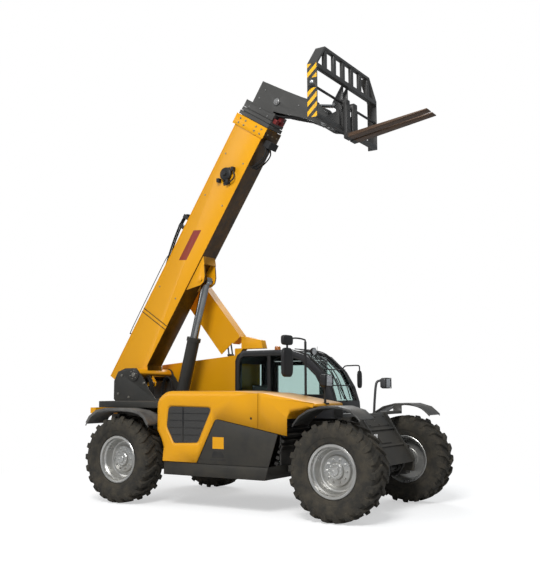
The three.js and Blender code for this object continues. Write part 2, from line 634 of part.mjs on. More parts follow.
// Each section is a tube with wear pads at its tail and a collar at its head.
const SECTIONS = [
  { name: "boom_section_2", wall: 10, tail: -300, head: 4285, collarW: 368, collarH: 600 },
  { name: "boom_section_3", wall: 9, tail: -250, head: 4345, collarW: 350, collarH: 590 },
  { name: "boom_section_4", wall: 8, tail: -200, head: 4460, collarW: 330, collarH: 590 },
];
{
  let outer = { w: BOOM_W - 2 * BOOM_WALL, h: BOOM_H - 2 * BOOM_WALL };
  let from = BOOM_HEAD + COLLAR + RUN;
  for (const s of SECTIONS) {
    const w = outer.w - 2 * SLIDE_GAP;
    const h = outer.h - 2 * SLIDE_GAP;
    const padW = outer.w / 2 - PIVOT_GAP;
    const padH = outer.h / 2 - PIVOT_GAP;
    const pad = box([s.tail, s.tail + 100], [-padW, padW], [MID - padH, MID + padH]);
    const collar = box([from, s.head], [-s.collarW / 2, s.collarW / 2], [MID - s.collarH / 2, MID + s.collarH / 2]);
    let shape = join(box([s.tail, s.head], [-w / 2, w / 2], [MID - h / 2, MID + h / 2]), pad, collar);
    const closed = s.name === "boom_section_4" ? -20 : 10;
    shape = cut(shape, box([s.tail - 10, s.head + closed], [s.wall - w / 2, w / 2 - s.wall],
      [MID - h / 2 + s.wall, MID + h / 2 - s.wall]));
    if (s.name === "boom_section_4") shape = join(shape, neck(s.head));
    place(s.name, shape, s.name === "boom_section_4" ? dark() : yellow(), boom);
    outer = { w: w - 2 * s.wall, h: h - 2 * s.wall };
    from = s.head + RUN;
  }
}

// The goose-neck: two plates joined over their top, a tube at the tool pivot and the tilt pin.
function neck(head) {
  const [qx, qz] = TOOL_PIVOT;
  const side = [
    [head - 20, 480], [4800, 482], [4822, 42], [4845, -277], [4862, -420], [4865, -600], [4800, -790],
    [qx + 60, qz - 35], [qx + 25, qz - 62], [qx - 40, qz - 60], [qx - 70, qz], [4612, -640],
    [4590, -430], [4540, -235], [4500, -60], [4482, 60], [head - 20, 60],
  ];
  let shape = null;
  for (const s of [-1, 1]) {
    const y = [s * (NECK_Y - 25), s * NECK_Y].sort((m, n) => m - n);
    const plate = prism(side, y);
    shape = shape ? join(shape, plate) : plate;
    const pin = [s * (TILT_HALF + PIVOT_GAP), s * (NECK_Y + 20)].sort((m, n) => m - n);
    shape = join(shape, barY(38, TILT_BASE[0], TILT_BASE[1], pin, 16));
  }
  const roof = [[head - 20, 480], [4800, 482], [4822, 42], [4832, -100], [4810, -100], [4800, 42],
    [4779, 460], [head - 20, 458]];
  shape = join(shape, prism(roof, [-NECK_Y, NECK_Y]));
  return join(shape, barY(45, qx, qz, [-NECK_Y, NECK_Y], 16));
}

// Three hoses clipped along the far edge of the boom's top.
{
  const z = BOOM_UNDER + BOOM_H + 25;
  let shape = null;
  for (const y of [70, 105, 140]) {
    const hose = rod(13, [340, y, z], [2520, y, z], 10);
    shape = shape ? join(shape, hose) : hose;
  }
  for (const x of [420, 1100, 1780, 2440]) {
    shape = join(shape, box([x, x + 50], [50, 160], [BOOM_UNDER + BOOM_H + SEAT, z + 20]));
  }
  place("boom_hoses", shape, black(), boom);
}

// ---- cylinders ----
// A barrel has its base eye on the group's origin and is bored from its gland for its rod.
function barrel(r, bore, length, eyeR, eyeHalf) {
  const tubeBody = new THREE.LatheGeometry([[0, eyeR * 0.5], [r, eyeR * 0.5], [r, length - 60],
    [r + 12, length - 60], [r + 12, length], [0, length]].map(([a, b]) => new THREE.Vector2(a, b)), 16);
  tubeBody.rotateZ(-Math.PI / 2);
  const hole = new THREE.CylinderGeometry(bore, bore, length, 16);
  hole.rotateZ(-Math.PI / 2);
  hole.translate(length / 2 + eyeR + 15, 0, 0);
  return cut(join(solid(tubeBody), barY(eyeR, 0, 0, [-eyeHalf, eyeHalf], 16)), solid(hole));
}

// A rod has its eye on the group's origin and points back along minus x.
function ram(r, length, eyeR, eyeHalf) {
  const bar = new THREE.CylinderGeometry(r, r, length, 16);
  bar.rotateZ(-Math.PI / 2);
  bar.translate(-length / 2, 0, 0);
  return join(solid(bar), barY(eyeR, 0, 0, [-eyeHalf, eyeHalf], 16));
}

function onBoom([along, off]) {
  const c = Math.cos(rad(BOOM_DEG));
  const s = Math.sin(rad(BOOM_DEG));
  return [PIVOT[0] + along * c - off * s, PIVOT[1] + along * s + off * c];
}

function cylinder(name, from, to, y, size) {
  const degrees = THREE.MathUtils.radToDeg(Math.atan2(to[1] - from[1], to[0] - from[0]));
  const base = sideGroup(from[0], y, from[1], degrees);
  const end = sideGroup(to[0], y, to[1], degrees);
  place(`${name}_barrel`, barrel(size.r, size.rod + 0.4, size.barrel, size.eye, size.half), size.paint(), base);
  place(`${name}_rod`, ram(size.rod, size.reach, size.rodEye, size.rodHalf), chrome(), end);
}

cylinder("lift", LIFT_BASE, onBoom(LIFT_EYE), 0, {
  r: 96, rod: 61, barrel: LIFT_BARREL, reach: LIFT_ROD, eye: 70, half: 96, rodEye: LIFT_EYE_R, rodHalf: 62, paint: dark,
});
cylinder("compensation", COMP_BASE, onBoom(COMP_EYE), COMP_Y, {
  r: 30, rod: 18, barrel: 330, reach: 260, eye: 38, half: 30, rodEye: 32, rodHalf: 25, paint: dark,
});
const tool = onBoom(TOOL_PIVOT);
const tiltEye = [tool[0] + TILT_ARM * Math.cos(rad(TILT_ARM_DEG)), tool[1] + TILT_ARM * Math.sin(rad(TILT_ARM_DEG))];
cylinder("tilt", onBoom(TILT_BASE), tiltEye, 0, {
  r: 40, rod: 26, barrel: 596, reach: 588, eye: 45, half: TILT_HALF, rodEye: 42, rodHalf: TILT_EYE_HALF, paint: dark,
});

// ---- carriage and forks ----
// An outline in y and z, drawn out from x[0] to x[1].
function plateX(points, x) {
  const shape = new THREE.Shape(points.map(([py, pz]) => new THREE.Vector2(py, pz)));
  const g = new THREE.ExtrudeGeometry(shape, { depth: x[1] - x[0], bevelEnabled: false });
  const turn = new THREE.Matrix4();
  turn.makeBasis(new THREE.Vector3(0, 1, 0), new THREE.Vector3(0, 0, 1), new THREE.Vector3(1, 0, 0));
  g.applyMatrix4(turn);
  g.translate(x[0], 0, 0);
  return solid(g);
}

const POST_IN = CARRIAGE_W / 2 - 20;
{
  const half = CARRIAGE_W / 2;
  const corner = 680;
  const f = CARRIAGE_FACE;
  const [low, high] = CARRIAGE_Z;
  const depth = [f - RAIL, f];
  const back = f - RAIL + 7;
  let shape = join(box(depth, [-half, half], [low, low + RAIL]), box([f - RAIL, f + 5], [-POST_IN, POST_IN], [high - RAIL, high]));
  shape = join(shape, box(depth, [-corner, corner], [CARRIAGE_TOP - 40, CARRIAGE_TOP]));
  for (const s of [-1, 1]) {
    const post = [s * POST_IN, s * half].sort((m, n) => m - n);
    shape = join(shape, box([f - CARRIAGE_POST, f], post, CARRIAGE_Z));
    const brace = [[s * POST_IN, high - 20], [s * half, high], [s * corner, CARRIAGE_TOP], [s * (corner - 25), CARRIAGE_TOP - 20]];
    shape = join(shape, plateX(brace, [f - CARRIAGE_POST, f]));
  }
  for (const y of [-650, -390, -130, 130, 390, 650]) {
    shape = join(shape, box([f - 50, f - 5], [y - 35, y + 35], [high - 10, CARRIAGE_TOP - 20]));
  }
  const [qx, qz] = tool;
  const [ex, ez] = tiltEye;
  const ear = [[qx - 60, qz], [qx - 40, qz + 55], [qx + 10, qz + 75], [back, 5400], [back, low + 5],
    [qx + 60, qz - 80], [qx - 30, qz - 60]];
  const lever = [[ex - 42, ez - 15], [ex - 25, ez + 40], [back, high - 10], [back, high - RAIL], [back, low + 20],
    [back - 40, low + 20], [ex + 20, ez - 44]];
  for (const s of [-1, 1]) {
    const y = [s * (NECK_Y + PIVOT_GAP), s * (NECK_Y + PIVOT_GAP + 25)].sort((m, n) => m - n);
    shape = join(shape, prism(ear, y));
    const inner = [s * (TILT_EYE_HALF + PIVOT_GAP), s * (TILT_EYE_HALF + PIVOT_GAP + 25)].sort((m, n) => m - n);
    shape = join(shape, prism(lever, inner));
  }
  place("fork_carriage", shape, dark());
}
{
  const x = CARRIAGE_FACE + SEAT;
  const c = Math.cos(rad(FORK_DEG));
  const s = Math.sin(rad(FORK_DEG));
  const heel = [x, 4990];
  const [bx, bz] = FORK_BAR;
  const on = (along, up) => [heel[0] + along * c - up * s, heel[1] + along * s + up * c];
  const side = [heel, on(FORK_LEN, 20), on(FORK_LEN, 32), on(70, 52), [x + 48, 5100], [x + 48, bz + 45],
    [bx - 20, bz + 45], [bx - 20, bz - 45], [x, bz - 55]];
  let shape = barY(18, bx, bz, [PIVOT_GAP - POST_IN, POST_IN - PIVOT_GAP], 12);
  for (const k of [-1, 1]) {
    const mid = k * FORK_GAP / 2;
    const room = [k * 62, 0].sort((m, n) => m - n);   // for the tilt rod between the shanks
    const fork = prism(side, [mid - FORK_W / 2, mid + FORK_W / 2]);
    shape = join(shape, cut(fork, box([bx - 60, x + 60], room, [5110, bz + 60])));
  }
  place("forks", shape, steel());
}

// ---- the whole machine over its own origin ----
machine.updateMatrixWorld(true);
const bounds = new THREE.Box3().setFromObject(machine, true);
const centre = bounds.getCenter(new THREE.Vector3());
machine.position.set(-centre.x, -centre.y, -bounds.min.z);
machine.updateMatrixWorld(true);

export default machine;
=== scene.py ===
import json
import math

import bmesh
import bpy
from mathutils import Matrix, Vector


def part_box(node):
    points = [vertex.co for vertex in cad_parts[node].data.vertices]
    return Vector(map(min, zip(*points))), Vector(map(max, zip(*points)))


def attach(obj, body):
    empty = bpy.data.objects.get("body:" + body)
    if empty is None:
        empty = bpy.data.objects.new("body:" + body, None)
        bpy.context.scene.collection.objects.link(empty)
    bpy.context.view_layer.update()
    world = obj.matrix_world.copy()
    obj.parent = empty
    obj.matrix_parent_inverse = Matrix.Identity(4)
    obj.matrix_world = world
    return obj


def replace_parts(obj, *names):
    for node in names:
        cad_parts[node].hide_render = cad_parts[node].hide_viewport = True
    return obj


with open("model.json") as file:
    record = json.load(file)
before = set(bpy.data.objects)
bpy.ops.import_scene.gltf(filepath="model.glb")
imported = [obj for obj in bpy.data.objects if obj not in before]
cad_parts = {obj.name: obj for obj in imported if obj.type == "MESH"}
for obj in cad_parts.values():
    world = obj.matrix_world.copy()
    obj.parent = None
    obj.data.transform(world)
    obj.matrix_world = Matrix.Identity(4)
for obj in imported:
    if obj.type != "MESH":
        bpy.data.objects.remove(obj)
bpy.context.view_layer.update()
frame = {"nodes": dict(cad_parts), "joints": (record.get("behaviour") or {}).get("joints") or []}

joints = {j["name"]: j for j in frame["joints"]}
nodes = frame["nodes"]

# ---- studio ----
# A camera low at the front right corner, a pale floor, and three large soft lamps. The floor and
# the background show plain white to the camera and keep the machine's shadow.
axle_low, axle_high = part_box("front_axle")
FORE = (axle_low.x + axle_high.x) / 2 - 1.7     # middle of the wheelbase, along x


def spot(x, y, z):
    """A place on the machine, with x counted from the middle of the wheelbase."""
    return x + FORE, y, z


camera_data = bpy.data.cameras.new("camera")
camera_data.sensor_width = 36
camera_data.lens = 53.06
camera_data.clip_end = 200
camera = bpy.data.objects.new("camera", camera_data)
bpy.context.scene.collection.objects.link(camera)
yaw, pitch, roll = math.radians(122.52), math.radians(7.34), math.radians(0.13)
forward = Vector((math.cos(pitch) * math.cos(yaw), math.cos(pitch) * math.sin(yaw), math.sin(pitch)))
level = Vector((math.sin(yaw), -math.cos(yaw), 0))
down = forward.cross(level)
right = level * math.cos(roll) + down * math.sin(roll)
below = down * math.cos(roll) - level * math.sin(roll)
turn = Matrix((right, -below, -forward)).transposed()
camera.matrix_world = Matrix.Translation(spot(6.457, -10.034, 1.588)) @ turn.to_4x4()
bpy.context.scene.camera = camera
bpy.context.scene.view_settings.view_transform = "Standard"


def add(tree, kind, values=None, **settings):
    """One shader node, with its settings, and its inputs as numbers or as other nodes' outputs."""
    made = tree.nodes.new(kind)
    for key, value in settings.items():
        setattr(made, key, value)
    for key, value in (values or {}).items():
        if isinstance(value, bpy.types.NodeSocket):
            tree.links.new(value, made.inputs[key])
        else:
            made.inputs[key].default_value = value
    return made


def maths(tree, operation, *values, **settings):
    """The result of one maths step on one or two numbers."""
    return add(tree, "ShaderNodeMath", dict(enumerate(values)), operation=operation, **settings).outputs[0]


def blank_material(name):
    """A new material, its empty tree, and the place on the machine for its patterns."""
    made = bpy.data.materials.new(name)
    made.use_nodes = True
    made.node_tree.nodes.clear()
    return made, made.node_tree, add(made.node_tree, "ShaderNodeTexCoord")


world = bpy.data.worlds.new("studio")
bpy.context.scene.world = world
world.use_nodes = True
sky = world.node_tree
sky.nodes.clear()
rays = add(sky, "ShaderNodeLightPath")
straight = maths(sky, "MAXIMUM", rays.outputs["Is Camera Ray"], rays.outputs["Is Transmission Ray"])
soft = add(sky, "ShaderNodeBackground", {"Color": (0.92, 0.96, 1.0, 1), "Strength": 0.36})
white = add(sky, "ShaderNodeBackground", {"Color": (1, 1, 1, 1), "Strength": 1.0})
either = add(sky, "ShaderNodeMixShader", {0: straight, 1: soft.outputs[0], 2: white.outputs[0]})
add(sky, "ShaderNodeOutputWorld", {"Surface": either.outputs[0]})

floor_mesh = bpy.data.meshes.new("floor")
reach, sunk = 60, -0.002
floor_mesh.from_pydata([(-reach, -reach, sunk), (reach, -reach, sunk), (reach, reach, sunk),
    (-reach, reach, sunk)], [], [(0, 1, 2, 3)])
floor = bpy.data.objects.new("floor", floor_mesh)
bpy.context.scene.collection.objects.link(floor)
pale, tree, at = blank_material("pale_floor")
rays = add(tree, "ShaderNodeLightPath")
matt = add(tree, "ShaderNodeBsdfDiffuse", {"Color": (0.62, 0.62, 0.62, 1)})
glow = add(tree, "ShaderNodeEmission", {"Color": (1, 1, 1, 1), "Strength": 0.52})
both = add(tree, "ShaderNodeAddShader", {0: matt.outputs[0], 1: glow.outputs[0]})
away = add(tree, "ShaderNodeVectorMath", {0: at.outputs["Object"]}, operation="LENGTH")
distant = add(tree, "ShaderNodeMapRange", {"Value": away.outputs["Value"], "From Min": 4.2,
    "From Max": 6.5}, interpolation_type="SMOOTHSTEP")
plain = add(tree, "ShaderNodeEmission", {"Color": (1, 1, 1, 1), "Strength": 1.0})
fading = add(tree, "ShaderNodeMixShader", {0: distant.outputs[0], 1: both.outputs[0], 2: plain.outputs[0]})
pick = add(tree, "ShaderNodeMixShader", {0: rays.outputs["Is Camera Ray"], 1: matt.outputs[0],
    2: fading.outputs[0]})
add(tree, "ShaderNodeOutputMaterial", {"Surface": pick.outputs[0]})
floor_mesh.materials.append(pale)

for name, place, size, power in (
    ("key", (4.5, -10.5, 10.5), 5.0, 1500),
    ("side", (-9.0, -7.0, 7.0), 6.0, 260),
    ("back", (-4.0, 9.0, 9.0), 6.0, 420),
):
    lamp_data = bpy.data.lights.new(name, "AREA")
    lamp_data.shape = "DISK"
    lamp_data.size = size
    lamp_data.energy = power
    lamp = bpy.data.objects.new(name, lamp_data)
    lamp.location = place
    aim = Vector((0, 0, 2.4)) - Vector(place)
    lamp.rotation_euler = aim.to_track_quat("-Z", "Y").to_euler()
    bpy.context.scene.collection.objects.link(lamp)

# ---- frame, deck and axles ----
# Welded plate frame with the boom's pivot cheeks, the deck between the plates, and two cast
# steering axles, all sprayed dark grey. Dust lies low down and on what faces up.


def effect(name, inputs, outputs):
    """An empty shader group: (name, default) pairs go in, names come out as numbers."""
    made = bpy.data.node_groups.new(name, "ShaderNodeTree")
    for label, value in inputs:
        socket = made.interface.new_socket(name=label, in_out="INPUT", socket_type="NodeSocketFloat")
        socket.default_value = value
    for label in outputs:
        made.interface.new_socket(name=label, in_out="OUTPUT", socket_type="NodeSocketFloat")
    return made, made.nodes.new("NodeGroupInput"), made.nodes.new("NodeGroupOutput")


def ranged(tree, value, start, stop, low=0.0, high=1.0):
    """A number moved from one range on to another."""
    return add(tree, "ShaderNodeMapRange", {"Value": value, "From Min": start, "From Max": stop,
        "To Min": low, "To Max": high}).outputs[0]


def noise(tree, at, scale, detail, rough=0.5):
    """Cloudy patches fixed to the machine."""
    return add(tree, "ShaderNodeTexNoise", {"Vector": at.outputs["Object"], "Scale": scale,
        "Detail": detail, "Roughness": rough}).outputs["Fac"]


def blended(tree, factor, first, second):
    """The first colour giving way to the second."""
    return add(tree, "ShaderNodeMix", {"Factor": factor, "A": first, "B": second},
        data_type="RGBA").outputs["Result"]


def roughened(tree, height, strength, distance):
    """A fine relief from a height."""
    return add(tree, "ShaderNodeBump", {"Height": height, "Strength": strength,
        "Distance": distance}).outputs[0]


def sprayed_on(tree, values):
    """The surface shader of a material."""
    body = add(tree, "ShaderNodeBsdfPrincipled", values)
    add(tree, "ShaderNodeOutputMaterial", {"Surface": body.outputs[0]})


road_dust, gi, go = effect("road_dust", [("Scale", 3.0), ("Top", 1.6), ("Amount", 0.6)], ["Mask"])
at = add(road_dust, "ShaderNodeTexCoord")
split = add(road_dust, "ShaderNodeSeparateXYZ", {0: at.outputs["Object"]})
low = ranged(road_dust, split.outputs["Z"], gi.outputs["Top"], 0.1, 0.12, 1.0)
facing = add(road_dust, "ShaderNodeNewGeometry")
upward = add(road_dust, "ShaderNodeSeparateXYZ", {0: facing.outputs["Normal"]})
lying = ranged(road_dust, upward.outputs["Z"], 0.2, 1.0, 0.0, 0.45)
clouds = noise(road_dust, at, gi.outputs["Scale"], 7.0, 0.65)
patchy = ranged(road_dust, clouds, 0.35, 0.75)
total = maths(road_dust, "ADD", low, lying)
spread = maths(road_dust, "MULTIPLY", total, patchy)
much = maths(road_dust, "MULTIPLY", spread, gi.outputs["Amount"], use_clamp=True)
road_dust.links.new(much, go.inputs["Mask"])

edge_wear, gi, go = effect("edge_wear", [("Width", 0.008), ("Amount", 0.5)], ["Mask"])
flat = add(edge_wear, "ShaderNodeNewGeometry")
softened = add(edge_wear, "ShaderNodeBevel", {"Radius": gi.outputs["Width"]}, samples=3)
same = add(edge_wear, "ShaderNodeVectorMath", {0: flat.outputs["Normal"], 1: softened.outputs[0]},
    operation="DOT_PRODUCT")
turned = ranged(edge_wear, same.outputs["Value"], 0.97, 0.82)
at = add(edge_wear, "ShaderNodeTexCoord")
chips = noise(edge_wear, at, 9.0, 8.0, 0.75)
sparse = ranged(edge_wear, chips, 0.5, 0.66)
chipped = maths(edge_wear, "MULTIPLY", turned, sparse)
worn = maths(edge_wear, "MULTIPLY", chipped, gi.outputs["Amount"], use_clamp=True)
edge_wear.links.new(worn, go.inputs["Mask"])

sprayed, gi, go = effect("sprayed_skin", [("Scale", 160.0), ("Shade Scale", 1.3)], ["Height", "Shade"])
at = add(sprayed, "ShaderNodeTexCoord")
peel = noise(sprayed, at, gi.outputs["Scale"], 2.0)
broad = noise(sprayed, at, gi.outputs["Shade Scale"], 5.0, 0.6)
waves = maths(sprayed, "MULTIPLY", broad, 1.5)
skin = maths(sprayed, "ADD", peel, waves)
sprayed.links.new(skin, go.inputs["Height"])
sprayed.links.new(broad, go.inputs["Shade"])


def painted(name, light, shade, dust=(0.30, 0.25, 0.18), worn=(0.10, 0.09, 0.08), gloss=0.42, dusty=0.5,
            wear=0.5, dust_top=1.7, metal=0.0):
    """A sprayed or moulded finish: two tones, road dust, chipped edges and a fine skin."""
    made, t, at = blank_material(name)
    cover = add(t, "ShaderNodeGroup", {"Scale": 160.0, "Shade Scale": 1.3}, node_tree=sprayed)
    tones = blended(t, cover.outputs["Shade"], (*light, 1), (*shade, 1))
    dirt = add(t, "ShaderNodeGroup", {"Scale": 3.2, "Top": dust_top, "Amount": dusty}, node_tree=road_dust)
    soiled = blended(t, dirt.outputs["Mask"], tones, (*dust, 1))
    chips = add(t, "ShaderNodeGroup", {"Width": 0.008, "Amount": wear}, node_tree=edge_wear)
    final = blended(t, chips.outputs["Mask"], soiled, (*worn, 1))
    rough = ranged(t, dirt.outputs["Mask"], 0.0, 1.0, gloss, 0.9)
    skin = roughened(t, cover.outputs["Height"], 0.08, 0.002)
    sprayed_on(t, {"Base Color": final, "Roughness": rough, "Metallic": metal, "Normal": skin,
        "Specular IOR Level": 0.32})
    return made


dark_grey = painted("dark_grey_paint", (0.036, 0.035, 0.032), (0.022, 0.022, 0.020),
    dust=(0.13, 0.11, 0.08), gloss=0.42, dusty=0.5)


def round_edges(piece, width):
    """Two-step rounding of every edge sharper than a shallow fold."""
    edges = piece.modifiers.new("edges", "BEVEL")
    edges.width = width
    edges.segments = 2
    edges.limit_method = "ANGLE"
    edges.angle_limit = math.radians(32)
    return edges


def refinish(name, finish, edge=0.004):
    """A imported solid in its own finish, with its sharp edges rounded as sprayed plate has them."""
    solid = nodes[name]
    solid.data.materials.clear()
    solid.data.materials.append(finish)
    for face in solid.data.polygons:
        face.use_smooth = True
    weld = solid.modifiers.new("weld", "WELD")
    weld.merge_threshold = 0.00005
    if edge:
        round_edges(solid, edge).harden_normals = True
    else:
        crisp = solid.modifiers.new("crisp", "EDGE_SPLIT")
        crisp.split_angle = math.radians(35)


for name in ("frame_plate_right", "frame_plate_left", "frame_deck", "front_axle", "rear_axle",
             "front_right_knuckle", "front_left_knuckle", "rear_right_knuckle", "rear_left_knuckle"):
    refinish(name, dark_grey, 0.005)


def slab(bm, lo, hi, turn=None, about=None):
    """A plain block between two corners, turned about a point if asked."""
    made = bmesh.ops.create_cube(bm, size=1.0)["verts"]
    lo, hi = Vector(lo), Vector(hi)
    for v in made:
        v.co = (lo + hi) / 2 + v.co * (hi - lo)
        if turn:
            v.co = Vector(about) + turn @ (v.co - Vector(about))


def spun(bm, profile, sides, centre, axis, closed=False):
    """A profile of (radius, along) pairs turned about an axis through a point."""
    axis = Vector(axis).normalized()
    side = axis.orthogonal().normalized()
    other = axis.cross(side)
    rings = []
    for radius, along in profile:
        if radius < 1e-6:
            rings.append([bm.verts.new(Vector(centre) + axis * along)])
            continue
        ring = []
        for k in range(sides):
            angle = 2 * math.pi * k / sides
            ring.append(bm.verts.new(Vector(centre) + axis * along +
                (side * math.cos(angle) + other * math.sin(angle)) * radius))
        rings.append(ring)
    pairs = list(zip(rings, rings[1:]))
    if closed:
        pairs.append((rings[-1], rings[0]))
    for a, b in pairs:
        for k in range(sides):
            j = (k + 1) % sides
            if len(a) == 1 and len(b) == 1:
                continue
            if len(a) == 1:
                bm.faces.new((a[0], b[k], b[j]))
            elif len(b) == 1:
                bm.faces.new((a[k], b[0], a[j]))
            else:
                bm.faces.new((a[k], b[k], b[j], a[j]))


def pipe(bm, path, radius, sides=10):
    """A round bar or hose along a list of points, closed at both ends."""
    path = [Vector(p) for p in path]
    last = None
    up = None
    for i, p in enumerate(path):
        ahead = (path[min(i + 1, len(path) - 1)] - path[max(i - 1, 0)]).normalized()
        if up is None:
            up = ahead.orthogonal().normalized()
        up = (up - ahead * up.dot(ahead)).normalized()
        other = ahead.cross(up)
        turns = [2 * math.pi * k / sides for k in range(sides)]
        ring = [bm.verts.new(p + (up * math.cos(a) + other * math.sin(a)) * radius) for a in turns]
        if last:
            for k in range(sides):
                bm.faces.new((last[k], ring[k], ring[(k + 1) % sides], last[(k + 1) % sides]))
        else:
            bm.faces.new(list(reversed(ring)))
        last = ring
    bm.faces.new(last)


def smooth_path(points, steps=6):
    """A flowing line through a few points."""
    points = [Vector(p) for p in points]
    line = []
    for i in range(len(points) - 1):
        a = points[max(i - 1, 0)]
        b, c = points[i], points[i + 1]
        d = points[min(i + 2, len(points) - 1)]
        for k in range(steps):
            t = k / steps
            line.append(0.5 * ((2 * b) + (c - a) * t + (2 * a - 5 * b + 4 * c - d) * t * t +
                (3 * b - a - 3 * c + d) * t ** 3))
    return line + [points[-1]]


def plate(bm, lo, hi):
    """A plain block between two places on the machine."""
    slab(bm, spot(*lo), spot(*hi))


def bar(bm, points, radius, sides):
    """A bent bar through places on the machine."""
    pipe(bm, [spot(*p) for p in points], radius, sides)


def hose(bm, points, steps, radius, sides):
    """A flowing hose or bent tube through places on the machine."""
    pipe(bm, smooth_path([spot(*p) for p in points], steps), radius, sides)


def prism(bm, near, far):
    """A closed solid between two rings of points."""
    near, far = [bm.verts.new(p) for p in near], [bm.verts.new(p) for p in far]
    bm.faces.new(near)
    bm.faces.new(list(reversed(far)))
    for i in range(len(near)):
        j = (i + 1) % len(near)
        bm.faces.new((near[i], far[i], far[j], near[j]))


def outline(bm, points, y):
    """A flat outline in x and z drawn out from y[0] to y[1]."""
    prism(bm, [(x, y[0], z) for x, z in points], [(x, y[1], z) for x, z in points])


def closed_mesh(bm, name, finish, sharp):
    """The mesh in its finish, with clean outward faces and crisp corners."""
    bmesh.ops.recalc_face_normals(bm, faces=bm.faces)
    mesh = bpy.data.meshes.new(name)
    bm.to_mesh(mesh)
    bm.free()
    for face in mesh.polygons:
        face.use_smooth = True
    mesh.set_sharp_from_angle(angle=math.radians(sharp))
    mesh.materials.append(finish)
    return mesh


def finished(bm, name, finish, body, edge=0.0, sharp=35):
    """The mesh as a named piece that rides on its body."""
    piece = bpy.data.objects.new(name, closed_mesh(bm, name, finish, sharp))
    bpy.context.scene.collection.objects.link(piece)
    if edge:
        round_edges(piece, edge)
    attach(piece, body)
    return piece


def bolt(bm, at, axis, radius=0.011, high=0.010):
    """A hexagonal bolt head on a face."""
    spun(bm, [(0, high), (radius, high), (radius, 0)], 6, at, axis)


# Cover plates and bolt heads on the frame.
pivot = Vector(joints["boom_lift"]["pos_m"])
bm = bmesh.new()
for s in (-1, 1):
    spun(bm, [(0, 0.012), (0.030, 0.012), (0.034, 0.008), (0.034, 0.004), (0.078, 0.004), (0.082, 0),
        (0.082, -0.004)], 40, pivot + Vector((0, s * 0.4205, 0)), (0, s, 0))
    for k in range(6):
        a = math.radians(60 * k + 15)
        bolt(bm, pivot + Vector((0.062 * math.cos(a), s * 0.4225, 0.062 * math.sin(a))), (0, s, 0), 0.010)
    for px, pz in ((-2.47, 1.50), (-2.40, 1.78), (-1.95, 1.66), (-1.75, 1.35), (-2.25, 1.45)):
        spun(bm, [(0, 0.016), (0.015, 0.016), (0.015, 0.002), (0.022, 0.002), (0.022, 0)], 6,
            spot(px, s * 0.4052, pz), (0, s, 0))
finished(bm, "frame_bolts", painted("zinc_bolts", (0.30, 0.29, 0.26), (0.2, 0.19, 0.17), gloss=0.35,
    metal=0.8), "chassis", 0.0015)

# Nose: ribs and bolted covers between the front plates, the step beside them and a reflector.
hose_black = painted("hose_rubber", (0.012, 0.012, 0.012), (0.007, 0.007, 0.007), dust=(0.09, 0.08, 0.06),
    gloss=0.5, dusty=0.5, wear=0.1)
nose_top, nose_low = Vector(spot(1.640, 0, 1.250)), Vector(spot(2.060, 0, 0.620))
slope = (nose_low - nose_top).normalized()
out = Vector((-slope.z, 0, slope.x))
bm = bmesh.new()


def block(bm, corners):
    """A closed solid between two rings of four corners."""
    near, far = [bm.verts.new(c) for c in corners[:4]], [bm.verts.new(c) for c in corners[4:]]
    for i in range(4):
        j = (i + 1) % 4
        bm.faces.new((near[i], near[j], far[j], far[i]))
    bm.faces.new(near)
    bm.faces.new(list(reversed(far)))


def nose_block(start, stop, y0, y1, thick):
    """A rib or cover on the sloped nose, between two distances down its slope."""
    corners = ((y0, -0.004), (y1, -0.004), (y1, thick), (y0, thick))
    block(bm, [nose_top + slope * a + out * h + Vector((0, y, 0)) for a in (start, stop)
        for y, h in corners])


for rib in ((0.010, 0.740, -0.403, -0.372, 0.030), (0.010, 0.740, 0.372, 0.403, 0.030),
            (0.235, 0.262, -0.372, 0.372, 0.020), (0.480, 0.505, -0.372, 0.372, 0.020),
            (0.300, 0.450, -0.230, 0.060, 0.012), (0.040, 0.200, -0.300, 0.300, 0.007)):
    nose_block(*rib)
for a in (0.06, 0.18):
    for y in (-0.27, 0, 0.27):
        spun(bm, [(0, 0.018), (0.012, 0.018), (0.012, 0.006)], 6, nose_top + slope * a + Vector((0, y, 0)),
            out)
plate(bm, (1.30, 0.41, 0.86), (1.36, 0.62, 0.885))
plate(bm, (1.30, 0.60, 0.86), (1.36, 0.625, 1.10))
plate(bm, (1.30, 0.41, 1.06), (1.36, 0.62, 1.085))
for k in range(5):
    plate(bm, (1.36 + 0.012 * k, 0.43, 1.085), (1.366 + 0.012 * k, 0.60, 1.092))
finished(bm, "nose_ribs", dark_grey, "chassis", 0.003)
bm = bmesh.new()
for y, drop in ((-0.30, 0.0), (-0.24, 0.05), (0.18, 0.03), (0.25, 0.0)):
    hose(bm, [(1.97, y, 0.72), (2.00, y * 0.95, 0.64 - drop), (1.93, y * 0.8, 0.50 - drop),
        (1.80, y * 0.7, 0.46)], 6, 0.014, 8)
bar(bm, [(1.905, -0.60, 0.56), (1.905, 0.60, 0.56)], 0.026, 12)
for y in (-0.16, 0.16):
    bar(bm, [(1.905, y - 0.03, 0.56), (1.905, y + 0.03, 0.56)], 0.042, 16)
for s in (-1, 1):
    plate(bm, (1.74, s * 0.20 - 0.02, 0.62), (1.88, s * 0.20 + 0.02, 0.72))
finished(bm, "axle_hoses", hose_black, "chassis")
white_tape = painted("white_reflector", (0.75, 0.75, 0.75), (0.60, 0.60, 0.60), gloss=0.3, dusty=0.25,
    wear=0)
bm = bmesh.new()
plate(bm, (1.868, -0.4085, 0.905), (1.915, -0.4045, 1.005))
finished(bm, "frame_reflector", white_tape, "chassis")

